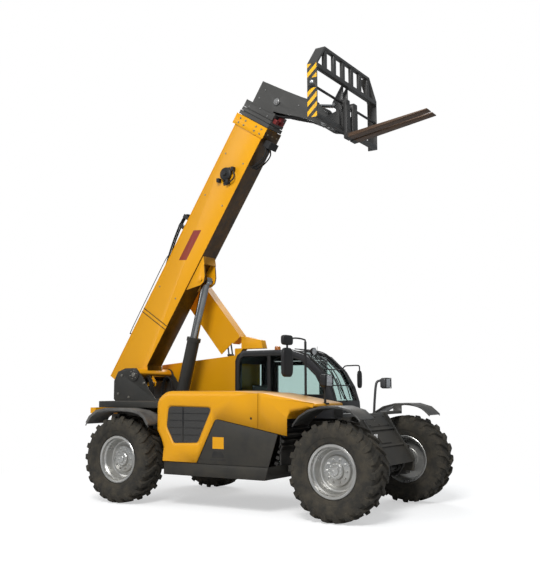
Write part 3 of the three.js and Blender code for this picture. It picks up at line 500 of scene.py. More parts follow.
# Boom foot: hoses looping from the frame to the boom, and the brackets beside them.
bm = bmesh.new()
for k, (y, r) in enumerate(((-0.27, 0.10), (-0.235, 0.12), (-0.21, 0.09), (0.24, 0.11), (0.27, 0.09))):
    hose(bm, [(-1.98, y, 1.10), (-1.93, y, 1.42), (-1.96, y, 1.60 + r), (-2.06, y * 0.9, 1.63 + r),
        (-2.12, y * 0.9, 1.50), (-2.05, y, 1.12)], 8, 0.014, 8)
for y in (-0.33, -0.30, 0.31):
    hose(bm, [(-1.62, y, 1.11), (-1.66, y, 1.34), (-1.80, y, 1.42), (-1.86, y, 1.26), (-1.84, y, 1.11)], 8,
        0.013, 8)
finished(bm, "boom_foot_hoses", hose_black, "chassis")
bm = bmesh.new()
plate(bm, (-2.50, -0.62, 1.075), (-2.20, -0.43, 1.1045))
for k in range(9):
    plate(bm, (-2.49 + 0.033 * k, -0.61, 1.1045), (-2.475 + 0.033 * k, -0.44, 1.1075))
plate(bm, (-2.46, -0.55, 1.14), (-2.30, -0.42, 1.20))
plate(bm, (-2.52, -0.53, 1.22), (-2.38, -0.42, 1.26))
finished(bm, "foot_brackets", dark_grey, "chassis", 0.003)

# ---- counterweight ----
# Cast weight between the rear plates with a bar across its top, sprayed yellow. A small plate in
# the same paint sits on the frame beside the boom's foot.
yellow = painted("yellow_paint", (0.830, 0.385, 0.004), (0.730, 0.320, 0.003), dust=(0.40, 0.26, 0.09),
    worn=(0.12, 0.09, 0.05), gloss=0.36, dusty=0.16, wear=0.45, dust_top=1.7)
refinish("counterweight", yellow, 0)
bm = bmesh.new()
plate(bm, (-2.26, -0.4125, 1.285), (-2.13, -0.404, 1.375))
finished(bm, "foot_plate", yellow, "chassis", 0.002)

# ---- wheels ----
# Deep-lugged tyres on silver steel rims. Each tyre is a moulded carcass with curved bars from the
# middle of the tread down over each shoulder; each rim is a turned dish with a hub and nuts.
TYRE_RADIUS = 0.6
LUGS = 22       # tread bars on each side
LUG_RADIUS = 0.58       # where a lean round the tread is measured
SIDE = [(0.150, 0.3015), (0.1545, 0.330), (0.168, 0.338), (0.174, 0.352), (0.185, 0.395), (0.1885, 0.398),
    (0.1915, 0.404), (0.1975, 0.440), (0.2000, 0.478), (0.1985, 0.510), (0.190, 0.540), (0.165, 0.560),
    (0.110, 0.567), (0.0, 0.569)]
LUG = [  # distance from the middle, radius at the top, half width round the tread, lean round the tread
    (0.012, 0.5985, 0.021, 0.000), (0.065, 0.5985, 0.024, 0.030), (0.120, 0.5975, 0.027, 0.066),
    (0.168, 0.5930, 0.031, 0.092), (0.194, 0.5760, 0.034, 0.102), (0.2035, 0.5400, 0.034, 0.106),
    (0.2040, 0.5000, 0.026, 0.106),
]


def tyre_mesh():
    """The carcass with two staggered rows of tread bars."""
    bm = bmesh.new()
    profile = [(r, w) for w, r in SIDE] + [(r, -w) for w, r in reversed(SIDE[:-1])]
    spun(bm, profile, 88, (0, 0, 0), (0, 1, 0), closed=True)
    for side in (-1, 1):
        for k in range(LUGS):
            start = 2 * math.pi * (k + (0.5 if side > 0 else 0)) / LUGS
            rows = []
            for i, (w, r, half, lean) in enumerate(LUG):
                drop = 0.036 if i < 4 else 0.030
                inward = 0.0 if i < 4 else (0.012 if i == 4 else 0.016)
                row = []
                corners = ((-1, False, 1.30), (-1, True, 1.0), (1, True, 1.0), (1, False, 1.30))
                for sign, top, wide in corners:
                    a = start + (lean + sign * half * wide) / LUG_RADIUS
                    radius = r if top else r - (drop if i < 5 else 0.012)
                    across = w if top else w - inward
                    row.append(bm.verts.new((radius * math.cos(a), side * across, radius * math.sin(a))))
                rows.append(row)
            for a, b in zip(rows, rows[1:]):
                for m in range(3):
                    bm.faces.new((a[m], a[m + 1], b[m + 1], b[m]))
                bm.faces.new((a[3], a[0], b[0], b[3]))
            bm.faces.new(rows[0])
            bm.faces.new(list(reversed(rows[-1])))
    return closed_mesh(bm, "tyre", tread, 34)


def rim_mesh():
    """The dished rim with its hub, wheel nuts and valve cover."""
    bm = bmesh.new()
    outer = [(0.0, 0.100), (0.050, 0.100), (0.056, 0.094), (0.060, 0.082), (0.092, 0.078), (0.100, 0.070),
        (0.104, 0.046), (0.108, 0.040), (0.150, 0.034), (0.176, 0.030), (0.184, 0.022), (0.188, 0.004),
        (0.196, -0.004), (0.232, -0.012), (0.246, -0.006), (0.256, 0.010), (0.262, 0.060), (0.268, 0.100),
        (0.284, 0.118), (0.288, 0.146), (0.292, 0.158), (0.304, 0.162), (0.318, 0.165), (0.3235, 0.160),
        (0.3250, 0.153), (0.302, 0.150), (0.300, 0.120)]
    back = [(0.300, -0.150), (0.325, -0.153), (0.3235, -0.162), (0.318, -0.165), (0.296, -0.160),
        (0.288, -0.145), (0.284, -0.110), (0.276, -0.060), (0.270, -0.040), (0.200, -0.044),
        (0.150, -0.046), (0.148, -0.068), (0.0, -0.068)]
    spun(bm, outer + back, 72, (0, 0, 0), (0, 1, 0))
    for k in range(10):
        a = 2 * math.pi * k / 10
        spun(bm, [(0, 0.026), (0.006, 0.026), (0.0085, 0.020), (0.0135, 0.020), (0.0135, 0.002),
            (0.021, 0.0), (0.021, -0.004)], 6, (0.140 * math.cos(a), 0.036, 0.140 * math.sin(a)), (0, 1, 0))
    for k in range(12):
        a = 2 * math.pi * (k + 0.5) / 12
        spun(bm, [(0, 0.010), (0.0065, 0.010), (0.0075, 0.008), (0.0075, -0.004)], 6,
            (0.081 * math.cos(a), 0.079, 0.081 * math.sin(a)), (0, 1, 0))
    spun(bm, [(0, 0.008), (0.013, 0.008), (0.017, 0.004), (0.017, -0.002)], 6, (0.024, 0.100, 0), (0, 1, 0))
    return closed_mesh(bm, "rim", silver, 30)


tread, tree, at = blank_material("tyre_rubber")
clay = noise(tree, at, 7.0, 8.0, 0.7)
patch = ranged(tree, clay, 0.40, 0.64)
caked = blended(tree, patch, (0.030, 0.028, 0.024, 1), (0.062, 0.053, 0.039, 1))
fine = noise(tree, at, 90.0, 4.0)
grit = ranged(tree, fine, 0.0, 1.0, 0.74, 0.96)
chips = add(tree, "ShaderNodeGroup", {"Width": 0.010, "Amount": 0.8}, node_tree=edge_wear)
scuffed = blended(tree, chips.outputs["Mask"], caked, (0.135, 0.115, 0.082, 1))
relief = roughened(tree, fine, 0.35, 0.003)
sprayed_on(tree, {"Base Color": scuffed, "Roughness": grit, "Normal": relief, "Specular IOR Level": 0.3})

silver = painted("silver_paint", (0.66, 0.66, 0.65), (0.50, 0.50, 0.48), dust=(0.20, 0.17, 0.12),
    worn=(0.14, 0.11, 0.08), gloss=0.24, dusty=0.40, wear=0.5, dust_top=1.3, metal=0.85)
tyre_data, rim_data = tyre_mesh(), rim_mesh()
for end in ("front", "rear"):
    for side in ("right", "left"):
        lo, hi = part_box(f"{end}_{side}_tyre")
        centre = (lo + hi) / 2
        centre.z = TYRE_RADIUS
        for kind, data, slot in (("tyre", tyre_data, "rubber"), ("rim", rim_data, "silver_paint")):
            piece = bpy.data.objects.new(f"{end}_{side}_{kind}_detail", data)
            bpy.context.scene.collection.objects.link(piece)
            piece.location = centre
            if side == "right":
                piece.rotation_euler = (0, 0, math.pi)
            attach(piece, f"{end}_{side}_wheel")
            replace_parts(piece, f"{end}_{side}_{kind}")

# ---- fenders ----
# Pressed steel fenders on arms from the frame: dusty dark grey at the front, black at the rear,
# each with a rolled lip along both edges.
black = painted("black_plastic", (0.016, 0.016, 0.017), (0.009, 0.009, 0.010), dust=(0.11, 0.10, 0.08),
    worn=(0.09, 0.09, 0.09), gloss=0.48, dusty=0.55, wear=0.35, dust_top=1.8)
fender_grey = painted("fender_grey", (0.050, 0.050, 0.049), (0.032, 0.032, 0.032), dust=(0.20, 0.18, 0.15),
    gloss=0.34, dusty=0.6, dust_top=2.2)
rear_grey = painted("rear_fender_grey", (0.085, 0.083, 0.080), (0.055, 0.054, 0.052),
    dust=(0.26, 0.245, 0.22), gloss=0.42, dusty=0.9, dust_top=2.4)
for side in ("right", "left"):
    refinish(f"front_{side}_fender", fender_grey, 0.006)
    refinish(f"rear_{side}_fender", rear_grey, 0.010)

front_arch = [(1.18, 1.14), (1.27, 1.245), (1.40, 1.322), (1.59, 1.368), (1.81, 1.368), (1.98, 1.322),
    (2.10, 1.22)]
rear_arch = [(-2.29, 1.10), (-2.23, 1.19), (-2.10, 1.275), (-1.90, 1.31), (-1.50, 1.31), (-1.30, 1.275),
    (-1.18, 1.20), (-1.11, 1.10)]
for side, s in (("right", -1), ("left", 1)):
    bm = bmesh.new()
    for arch, thick in ((front_arch, 0.020), (rear_arch, 0.040)):
        for y in (1.262, 0.878):
            line = [spot(x, s * y, z - thick - 0.004) for x, z in arch]
            pipe(bm, smooth_path(line, 3), 0.0075, 8)
    finished(bm, f"{side}_fender_lips", fender_grey, "chassis")

# ---- engine side ----
# A moulded yellow engine cover in two parts over a dark sill: the rear part opens on hinges along
# the frame. A meshed grille is set in its side, and a dark panel with a step is below it.
skin_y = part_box("engine_bonnet")[0].y
inner_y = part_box("engine_bonnet")[1].y


def rounded(points, radii, steps=6):
    """A closed outline with each corner rounded to its own radius."""
    line = []
    count = len(points)
    for i, (px, pz) in enumerate(points):
        radius = radii[i]
        p = Vector((px, pz))
        a = Vector(points[i - 1]) - p
        b = Vector(points[(i + 1) % count]) - p
        if radius <= 0:
            line.append((px, pz))
            continue
        angle = a.angle(b)
        reach = min(radius / math.tan(angle / 2), a.length * 0.48, b.length * 0.48)
        start, end = p + a.normalized() * reach, p + b.normalized() * reach
        for k in range(steps + 1):
            t = k / steps
            q = start * (1 - t) ** 2 + p * 2 * t * (1 - t) + end * t ** 2
            line.append((q.x, q.y))
    return line


def moulded_cover(name, points, radii, hole, body, stand):
    """A hollow cover: its flat side, a rounded edge, then walls in to y. hole is cut in its side."""
    ring = [(x + FORE, z) for x, z in rounded(points, radii)]
    count = len(ring)
    normals = []
    for i in range(count):
        a, b = Vector(ring[i - 1]), Vector(ring[(i + 1) % count])
        t = (b - a).normalized()
        normals.append(Vector((t.y, -t.x)))
    area = sum(ring[i][0] * ring[(i + 1) % count][1] - ring[(i + 1) % count][0] * ring[i][1]
        for i in range(count))
    if area < 0:
        normals = [-n for n in normals]
    bm = bmesh.new()
    rows = []
    turns = [(stand * (1 - math.sin(math.radians(a))), stand * (1 - math.cos(math.radians(a))))
        for a in (0, 18, 36, 54, 72, 90)]
    for inset, depth in turns:
        strengths = [edge_on[name](p) for p in ring]
        rows.append([(p[0] - n.x * inset * e, skin_y + depth * e, p[1] - n.y * inset * e)
            for p, n, e in zip(ring, normals, strengths)])
    rows.append([(ring[i][0], inner_y - 0.002, ring[i][1]) for i in range(count)])
    made = [[bm.verts.new(p) for p in row] for row in rows]
    for a, b in zip(made, made[1:]):
        for i in range(count):
            j = (i + 1) % count
            middle = ((ring[i][0] + ring[j][0]) / 2, (ring[i][1] + ring[j][1]) / 2)
            if open_edge[name](middle):
                continue
            bm.faces.new((a[i], b[i], b[j], a[j]))
    rounds = [(made[0][i], made[0][(i + 1) % count]) for i in range(count)]
    edges = [bm.edges.get(pair) or bm.edges.new(pair) for pair in rounds]
    if hole:
        rim = [(x + FORE, z) for x, z in hole]
        mid = Vector((sum(p[0] for p in rim), sum(p[1] for p in rim))) / len(rim)
        wide = [Vector(p) + (Vector(p) - mid).normalized() * 0.035 for p in rim]
        inner = [bm.verts.new((p.x, skin_y, p.y)) for p in wide]
        deep = [bm.verts.new((x, skin_y + 0.012, z)) for x, z in rim]
        for i in range(len(rim)):
            j = (i + 1) % len(rim)
            edges.append(bm.edges.new((inner[i], inner[j])))
            bm.faces.new((inner[i], inner[j], deep[j], deep[i]))
    bmesh.ops.triangle_fill(bm, use_beauty=True, use_dissolve=False, edges=edges)
    piece = finished(bm, name, yellow, body, sharp=40)
    thick = piece.modifiers.new("sheet", "SOLIDIFY")
    thick.thickness = 0.006
    thick.offset = -1
    return piece


grille = rounded([(-0.860, 1.340), (-0.130, 1.330), (-0.360, 0.865), (-0.760, 0.850), (-0.890, 1.070)],
    [0.07, 0.05, 0.06, 0.05, 0.12], 5)


# A place at full strength has the rounded edge; along the split and the bottom the edge stays flat.
def engine_strength(p):
    """How much of the rounded edge the engine cover keeps at a place on its outline."""
    x, z = p[0] - FORE, p[1]
    return 0.02 if x > 0.585 or z < 0.64 or (z < 1.30 and x > -0.9) else 1.0


def nose_strength(p):
    """How much of the rounded edge the nose cover keeps at a place on its outline."""
    return 0.02 if p[0] < 0.62 + FORE or p[1] < 1.28 else 0.6


edge_on = {"engine_cover": engine_strength, "nose_cover": nose_strength}
open_edge = {
    "engine_cover": lambda p: p[0] > 0.598 + FORE or p[1] < 0.63 or (p[1] < 1.19 and p[0] > -0.5 + FORE),
    "nose_cover": lambda p: p[0] < 0.608 + FORE or p[1] < 1.10,
}
engine_cover = moulded_cover("engine_cover", [(-1.085, 1.010), (-1.085, 1.430), (-0.930, 1.546),
    (0.230, 1.546), (0.600, 1.5176), (0.600, 1.071), (-0.063, 1.187), (-0.367, 0.606), (-0.945, 0.606),
    (-0.970, 0.800), (-1.010, 0.900)], [0.10, 0.22, 0.30, 0.5, 0, 0, 0.08, 0.0, 0.0, 0.1, 0.1], grille,
    "bonnet", 0.075)
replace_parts(engine_cover, "engine_bonnet")
nose_cover = moulded_cover("nose_cover", [(0.606, 1.070), (0.606, 1.5172), (0.700, 1.510), (1.368, 1.400),
    (1.430, 1.385), (1.440, 1.360), (1.250, 1.318), (1.040, 1.290), (1.040, 0.992)],
    [0, 0, 0.2, 0.1, 0.02, 0.01, 0.1, 0.10, 0.0], None, "chassis", 0.075)
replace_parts(nose_cover, "front_body_right")

# Black mesh behind the grille, with its bars.
MESH_PITCH = 0.022
net, tree, at = blank_material("grille_mesh")
split = add(tree, "ShaderNodeSeparateXYZ", {0: at.outputs["Object"]})
holes = []
for axis in ("X", "Z"):
    run = maths(tree, "MULTIPLY", split.outputs[axis], 2 * math.pi / MESH_PITCH)
    holes.append(maths(tree, "SINE", run))
grid = maths(tree, "MULTIPLY", holes[0], holes[1])
weave = ranged(tree, grid, -0.5, 0.5)
tint = blended(tree, weave, (0.008, 0.008, 0.008, 1), (0.060, 0.058, 0.054, 1))
relief = roughened(tree, weave, 0.6, 0.003)
sprayed_on(tree, {"Base Color": tint, "Roughness": 0.6, "Normal": relief})
bm = bmesh.new()
outline(bm, [(x + FORE, z) for x, z in grille], (skin_y + 0.013, skin_y + 0.017))
finished(bm, "grille_mesh", net, "bonnet")
bm = bmesh.new()
for k in range(4):
    z = 0.96 + 0.095 * k
    left = -0.845 if z > 1.0 else -0.80
    right = -0.36 + (z - 0.865) * 0.495 - 0.02
    plate(bm, (left, skin_y + 0.0085, z), (right, skin_y + 0.0125, z + 0.008))
plate(bm, (-0.62, skin_y + 0.007, 0.87), (-0.60, skin_y + 0.0125, 1.335))
finished(bm, "grille_bars", black, "bonnet", 0.001)

# Latches on the cover, then the dark panel, sill and engine under it.
bm = bmesh.new()
for x, z in ((0.50, 1.20), (-0.30, 0.66)):
    spun(bm, [(0, 0.006), (0.012, 0.006), (0.015, 0.002), (0.015, 0)], 24, spot(x, skin_y - 0.0002, z),
        (0, -1, 0))
finished(bm, "cover_latches", black, "bonnet")

panel_grey = painted("panel_grey", (0.034, 0.032, 0.028), (0.026, 0.025, 0.022), dust=(0.10, 0.085, 0.06),
    gloss=0.45, dusty=0.45)
refinish("side_panel", panel_grey, 0.006)
refinish("right_sill", panel_grey, 0.012)
castings = painted("engine_castings", (0.05, 0.05, 0.048), (0.03, 0.03, 0.03), metal=0.4)
refinish("engine_block", castings, 0.02)
refinish("rear_deck", dark_grey, 0.010)
block_lo, block_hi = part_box("engine_block")
span = block_hi - block_lo
cast = painted("engine_iron", (0.060, 0.058, 0.052), (0.035, 0.033, 0.030), gloss=0.5, metal=0.3)
bm = bmesh.new()
for k in range(5):
    x = block_lo.x + span.x * (0.12 + 0.18 * k)
    slab(bm, (x - 0.045, block_lo.y - 0.010, block_lo.z + span.z * 0.30),
        (x + 0.045, block_lo.y + 0.01, block_hi.z - 0.06))
    spun(bm, [(0, 0.012), (0.016, 0.012), (0.018, 0.006), (0.018, -0.004)], 6,
        (x, block_lo.y - 0.008, block_lo.z + 0.10), (0, -1, 0))
slab(bm, (block_lo.x + 0.08, block_lo.y + 0.12, block_hi.z - 0.005),
    (block_hi.x - 0.10, block_hi.y - 0.20, block_hi.z + 0.022))
for k in range(6):
    bolt(bm, (block_lo.x + 0.13 + k * 0.13, block_lo.y + 0.14, block_hi.z + 0.022), (0, 0, 1), 0.010)
finished(bm, "engine_castings", cast, "chassis", 0.004)
bm = bmesh.new()
pipe(bm, smooth_path([(block_lo.x + 0.15, block_hi.y - 0.12, block_hi.z - 0.01),
    (block_lo.x + 0.20, block_hi.y - 0.12, block_hi.z + 0.03),
    (block_lo.x + 0.45, block_hi.y - 0.10, block_hi.z + 0.035),
    (block_hi.x - 0.12, block_hi.y - 0.12, block_hi.z + 0.01)], 8), 0.022, 12)
finished(bm, "engine_hoses", hose_black, "chassis")
bm = bmesh.new()
step_x = -0.02
step_ring = rounded([(-0.105, 0.685), (0.105, 0.685), (0.075, 0.770), (-0.075, 0.770)],
    [0.02, 0.02, 0.03, 0.03], 4)
outline(bm, [(step_x + a + FORE, b) for a, b in step_ring], (skin_y - 0.0018, skin_y + 0.018))
plate(bm, (step_x - 0.125, skin_y - 0.0018, 0.650), (step_x + 0.125, skin_y + 0.018, 0.672))
finished(bm, "panel_step", black, "chassis", 0.003)
bm = bmesh.new()
plate(bm, (-0.105, skin_y - 0.0002, 0.80), (0.075, skin_y + 0.001, 0.95))
finished(bm, "panel_plate", yellow, "chassis", 0.0)

# Black louvred liner between the engine bay and the front wheel.
bm = bmesh.new()
for k in range(9):
    z = 0.64 + 0.07 * k
    front = 0.92 if z > 1.0 else 0.80 + (z - 0.6) * 0.33
    slab(bm, spot(front, -1.10, z), spot(front + 0.05, -0.47, z + 0.035),
        Matrix.Rotation(math.radians(25), 3, "Y"), spot(front, 0, z))
plate(bm, (0.90, -1.10, 0.63), (0.92, -0.47, 1.27))
finished(bm, "wheel_liner", black, "chassis", 0.002)

# ---- rear left body and its cover ----
# A yellow housing behind the cab. Its top cover stands open on a stay, hinged at the cab end; the
# stay is worn bare steel.
refinish("rear_left_body", yellow, 0.012)
refinish("rear_cover", yellow, 0)
worn_steel = painted("worn_steel", (0.060, 0.056, 0.050), (0.055, 0.050, 0.044), dust=(0.16, 0.12, 0.08),
    worn=(0.30, 0.28, 0.25), gloss=0.42, dusty=0.4, wear=0.8, metal=0.5)
refinish("cover_stay", worn_steel, 0)

# ---- cab ----
# A welded tube cab in dark grey with tinted glass bonded in rubber, a hinged door on the left, a
# seat, and a control column with a steering wheel.
cab_grey = painted("cab_grey", (0.026, 0.027, 0.029), (0.018, 0.018, 0.020), dust=(0.10, 0.09, 0.08),
    gloss=0.36, dusty=0.3, wear=0.25)
refinish("cab_shell", cab_grey, 0.010)
refinish("cab_door", cab_grey, 0.006)

glass, tree, at = blank_material("tinted_glass")
film = noise(tree, at, 4.0, 6.0)
haze = ranged(tree, film, 0.4, 0.8, 0.02, 0.10)
tintc = blended(tree, haze, (0.62, 0.74, 0.72, 1), (0.55, 0.52, 0.46, 1))
sprayed_on(tree, {"Base Color": tintc, "Roughness": haze, "Transmission Weight": 1.0, "IOR": 1.12})
for name in ("windscreen", "side_window", "corner_window", "rear_window", "door_glass"):
    refinish(name, glass, 0)

# Rubber seals, a divider in the side window, the wiper, the screen guard and the aerial.
seal = painted("rubber_seal", (0.016, 0.016, 0.016), (0.010, 0.010, 0.010), gloss=0.6, dusty=0.25, wear=0.1)
cab_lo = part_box("cab_shell")[0]
side_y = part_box("side_window")[0].y
bm = bmesh.new()
window = [(-0.690, 1.480), (-0.690, 1.950), (-0.662, 2.025), (-0.600, 2.062), (0.090, 2.062),
    (0.190, 2.048), (0.405, 1.978), (0.640, 1.765), (0.755, 1.570), (0.790, 1.480)]
ring = [spot(x, cab_lo.y - 0.001, z) for x, z in window]
pipe(bm, ring + [ring[0]], 0.014, 8)
plate(bm, (-0.175, cab_lo.y - 0.010, 1.50), (-0.125, side_y, 2.07))
finished(bm, "window_seals", seal, "chassis")
bm = bmesh.new()
screen = [(0.13, 2.143), (0.222, 2.131), (0.463, 2.050), (0.714, 1.821), (0.850, 1.603), (0.915, 1.400)]
for y in (0.390, 1.020):
    pipe(bm, smooth_path([spot(x, y, z - 0.006) for x, z in screen], 4), 0.012, 8)
finished(bm, "screen_seals", seal, "chassis")
bm = bmesh.new()
bar(bm, [(0.905, 0.70, 1.37), (0.925, 0.70, 1.40), (0.79, 0.62, 1.72)], 0.008, 8)
bar(bm, [(0.925, 0.62, 1.42), (0.70, 0.62, 1.855)], 0.007, 6)
finished(bm, "wiper", black, "chassis")
bm = bmesh.new()
guard = [(0.235, 2.150), (0.470, 2.082), (0.735, 1.848), (0.872, 1.618), (0.936, 1.420)]
for y in (0.50, 0.62, 0.78, 0.92):
    pipe(bm, smooth_path([spot(x, y, z) for x, z in guard], 4), 0.008, 8)
for x, z in (guard[0], guard[2], guard[3]):
    bar(bm, [(x, 0.40, z), (x, 1.01, z)], 0.008, 8)
finished(bm, "screen_guard", black, "chassis")
bm = bmesh.new()
bar(bm, [(0.30, 0.95, 2.120), (0.298, 0.955, 2.205)], 0.003, 6)
spun(bm, [(0, 0.03), (0.014, 0.028), (0.018, 0), (0, 0)], 12, spot(0.30, 0.95, 2.105), (0, 0, 1))
finished(bm, "aerial", black, "chassis")

# Seat cushions, each a crowned, tapered pad with sewn channels, on a moulded base.
vinyl, tree, at = blank_material("seat_vinyl")
grain = add(tree, "ShaderNodeTexVoronoi", {"Vector": at.outputs["Object"], "Scale": 260.0})
wornness = noise(tree, at, 6.0, 5.0)
shade = blended(tree, wornness, (0.014, 0.014, 0.015, 1), (0.038, 0.037, 0.036, 1))
sheen = ranged(tree, wornness, 0.0, 1.0, 0.45, 0.7)
relief = roughened(tree, grain.outputs["Distance"], 0.3, 0.001)
sprayed_on(tree, {"Base Color": shade, "Roughness": sheen, "Normal": relief})


def cushion(name, centre, size, lean, channels):
    """A pad as a crowned form: its sides pull in between the corners and its top bulges."""
    bm = bmesh.new()
    n = 24
    grid = {}
    for face in (1, -1):
        for i in range(n + 1):
            for j in range(n + 1):
                u, v = 2 * i / n - 1, 2 * j / n - 1
                edge = max(0.0, 1 - max(abs(u), abs(v)) ** 6)
                crown = (1 - u * u) ** 0.35 * (1 - v * v) ** 0.35
                sew = 0.10 * sum(math.exp(-((v - c) / 0.05) ** 2) for c in channels) if face > 0 else 0
                z = face * (0.35 * edge + (0.65 * crown - sew * crown) if face > 0 else 0.8 * edge)
                sx = 1 - 0.03 * (1 - v * v) * abs(u) ** 4
                sy = 1 - 0.03 * (1 - u * u) * abs(v) ** 4
                if face < 0 and (i in (0, n) or j in (0, n)):
                    continue
                p = Vector((u * sx * size[0] / 2, v * sy * size[1] / 2, z * size[2] / 2))
                p = Matrix.Rotation(lean, 3, "Y") @ p + Vector(centre)
                grid[(face, i, j)] = bm.verts.new(p)

    def corner(face, i, j):
        return grid.get((face, i, j)) or grid[(1, i, j)]

    for face in (1, -1):
        for i in range(n):
            for j in range(n):
                quad = [corner(face, i, j), corner(face, i + 1, j), corner(face, i + 1, j + 1),
                    corner(face, i, j + 1)]
                bm.faces.new(quad if face > 0 else list(reversed(quad)))
    piece = finished(bm, name, vinyl, "chassis", sharp=80)


cushion("seat_cushion", spot(-0.265, 0.75, 0.998), (0.53, 0.49, 0.115), 0.0, (-0.55, 0.55))
cushion("seat_back_cushion", spot(-0.560, 0.75, 1.355), (0.56, 0.47, 0.11), math.radians(83), (-0.5, 0.5))
bm = bmesh.new()
plate(bm, (-0.42, 0.57, 0.6205), (-0.08, 0.93, 0.76))
plate(bm, (-0.44, 0.555, 0.775), (-0.06, 0.945, 0.935))
for k in range(5):
    plate(bm, (-0.432 + 0.004 * k, 0.565, 0.757 + 0.003 * k), (-0.07, 0.935, 0.759 + 0.003 * k))
shell = finished(bm, "seat_base", black, "chassis", 0.006)
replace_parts(shell, "seat")

refinish("operator_controls", black, 0.008)
bm = bmesh.new()
spun(bm, [(0, 0.0), (0.012, 0), (0.012, 0.06), (0.022, 0.075), (0.024, 0.10), (0.016, 0.12), (0, 0.122)],
    16, spot(0.50, 0.62, 1.18), (0.1, 0, 1))
finished(bm, "drive_lever", black, "chassis")

# Door handle.
bm = bmesh.new()
hose(bm, [(0.20, 1.111, 1.06), (0.20, 1.150, 1.08), (0.20, 1.150, 1.20), (0.20, 1.111, 1.22)], 5, 0.009, 8)
finished(bm, "door_handle", black, "door")

# ---- mirrors, lamps and beacon ----
# Black moulded mirror heads on bent tube, two headlamps in housings with clear lenses on posts,
# a small work lamp on the cab's corner and an amber beacon on the roof.
def pod(bm, centre, size, power):
    """A rounded moulding: a box whose corners are fully rounded off."""
    rings, sides = 14, 36

    def blunt(value):
        return math.copysign(abs(value) ** (2 / power), value)

    rows = []
    for i in range(1, rings):
        lat = math.pi * i / rings - math.pi / 2
        row = []
        for k in range(sides):
            turn = 2 * math.pi * k / sides
            unit = (blunt(math.cos(lat)) * blunt(math.cos(turn)),
                blunt(math.cos(lat)) * blunt(math.sin(turn)), blunt(math.sin(lat)))
            row.append(bm.verts.new([c + d / 2 * u for c, d, u in zip(centre, size, unit)]))
        rows.append(row)
    for a, b in zip(rows, rows[1:]):
        for k in range(sides):
            bm.faces.new((a[k], a[(k + 1) % sides], b[(k + 1) % sides], b[k]))
    bm.faces.new(list(reversed(rows[0])))
    bm.faces.new(rows[-1])


bm = bmesh.new()
pod(bm, spot(0.868, -0.8625, 1.9125), (0.066, 0.245, 0.380), 4.0)
pod(bm, spot(0.868, -0.8625, 2.200), (0.066, 0.245, 0.132), 4.0)
bar(bm, [(0.870, -0.862, 1.75), (0.870, -0.862, 2.21)], 0.013, 10)
hose(bm, [(0.870, -0.862, 2.18), (0.870, -0.70, 2.232), (0.870, -0.44, 2.228), (0.870, -0.392, 2.18),
    (0.870, -0.392, 1.90)], 6, 0.011, 10)
bar(bm, [(0.870, -0.392, 2.20), (0.870, -0.392, 1.34)], 0.017, 12)
plate(bm, (0.845, -0.43, 1.334), (0.895, -0.355, 1.350))
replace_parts(finished(bm, "right_mirror_heads", black, "chassis", sharp=50), "right_mirror")
bm = bmesh.new()
pod(bm, spot(0.872, 1.215, 1.7075), (0.050, 0.105, 0.262), 3.6)
hose(bm, [(0.625, 1.118, 1.836), (0.66, 1.15, 1.905), (0.74, 1.19, 1.915), (0.83, 1.213, 1.917),
    (0.870, 1.215, 1.900), (0.872, 1.215, 1.80)], 6, 0.010, 10)
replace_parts(finished(bm, "left_mirror_head", black, "chassis", sharp=50), "left_mirror")
post_grey = painted("post_grey", (0.085, 0.085, 0.088), (0.055, 0.055, 0.058), gloss=0.35, dusty=0.3,
    metal=0.2)
bm = bmesh.new()
pod(bm, spot(1.430, -0.850, 1.675), (0.092, 0.190, 0.158), 5.0)
bar(bm, [(1.415, -0.850, 1.61), (1.415, -0.850, 1.400)], 0.016, 12)
plate(bm, (1.375, -0.885, 1.381), (1.455, -0.815, 1.401))
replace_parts(finished(bm, "headlamp_right_case", black, "chassis", sharp=50),
    "headlamp_right")
bm = bmesh.new()
pod(bm, spot(1.370, 1.050, 1.650), (0.092, 0.190, 0.158), 5.0)
hose(bm, [(1.212, 0.98, 1.225), (1.228, 0.98, 1.44), (1.250, 0.99, 1.640), (1.285, 1.02, 1.685),
    (1.345, 1.045, 1.68)], 7, 0.018, 12)
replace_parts(finished(bm, "headlamp_left_case", post_grey, "chassis", sharp=50),
    "headlamp_left")
lens, tree, at = blank_material("lamp_lens")
ribs = add(tree, "ShaderNodeTexVoronoi", {"Vector": at.outputs["Object"], "Scale": 60.0})
tone = blended(tree, ribs.outputs["Distance"], (0.75, 0.77, 0.78, 1), (0.32, 0.33, 0.35, 1))
relief = roughened(tree, ribs.outputs["Distance"], 0.5, 0.003)
sprayed_on(tree, {"Base Color": tone, "Roughness": 0.12, "Metallic": 0.6, "Normal": relief,
    "Coat Weight": 1.0})
mirror, tree, at = blank_material("mirror_glass")
smear = noise(tree, at, 12.0, 5.0)
dull = ranged(tree, smear, 0.0, 1.0, 0.02, 0.2)
sprayed_on(tree, {"Base Color": (0.8, 0.82, 0.83, 1), "Roughness": dull, "Metallic": 1.0})

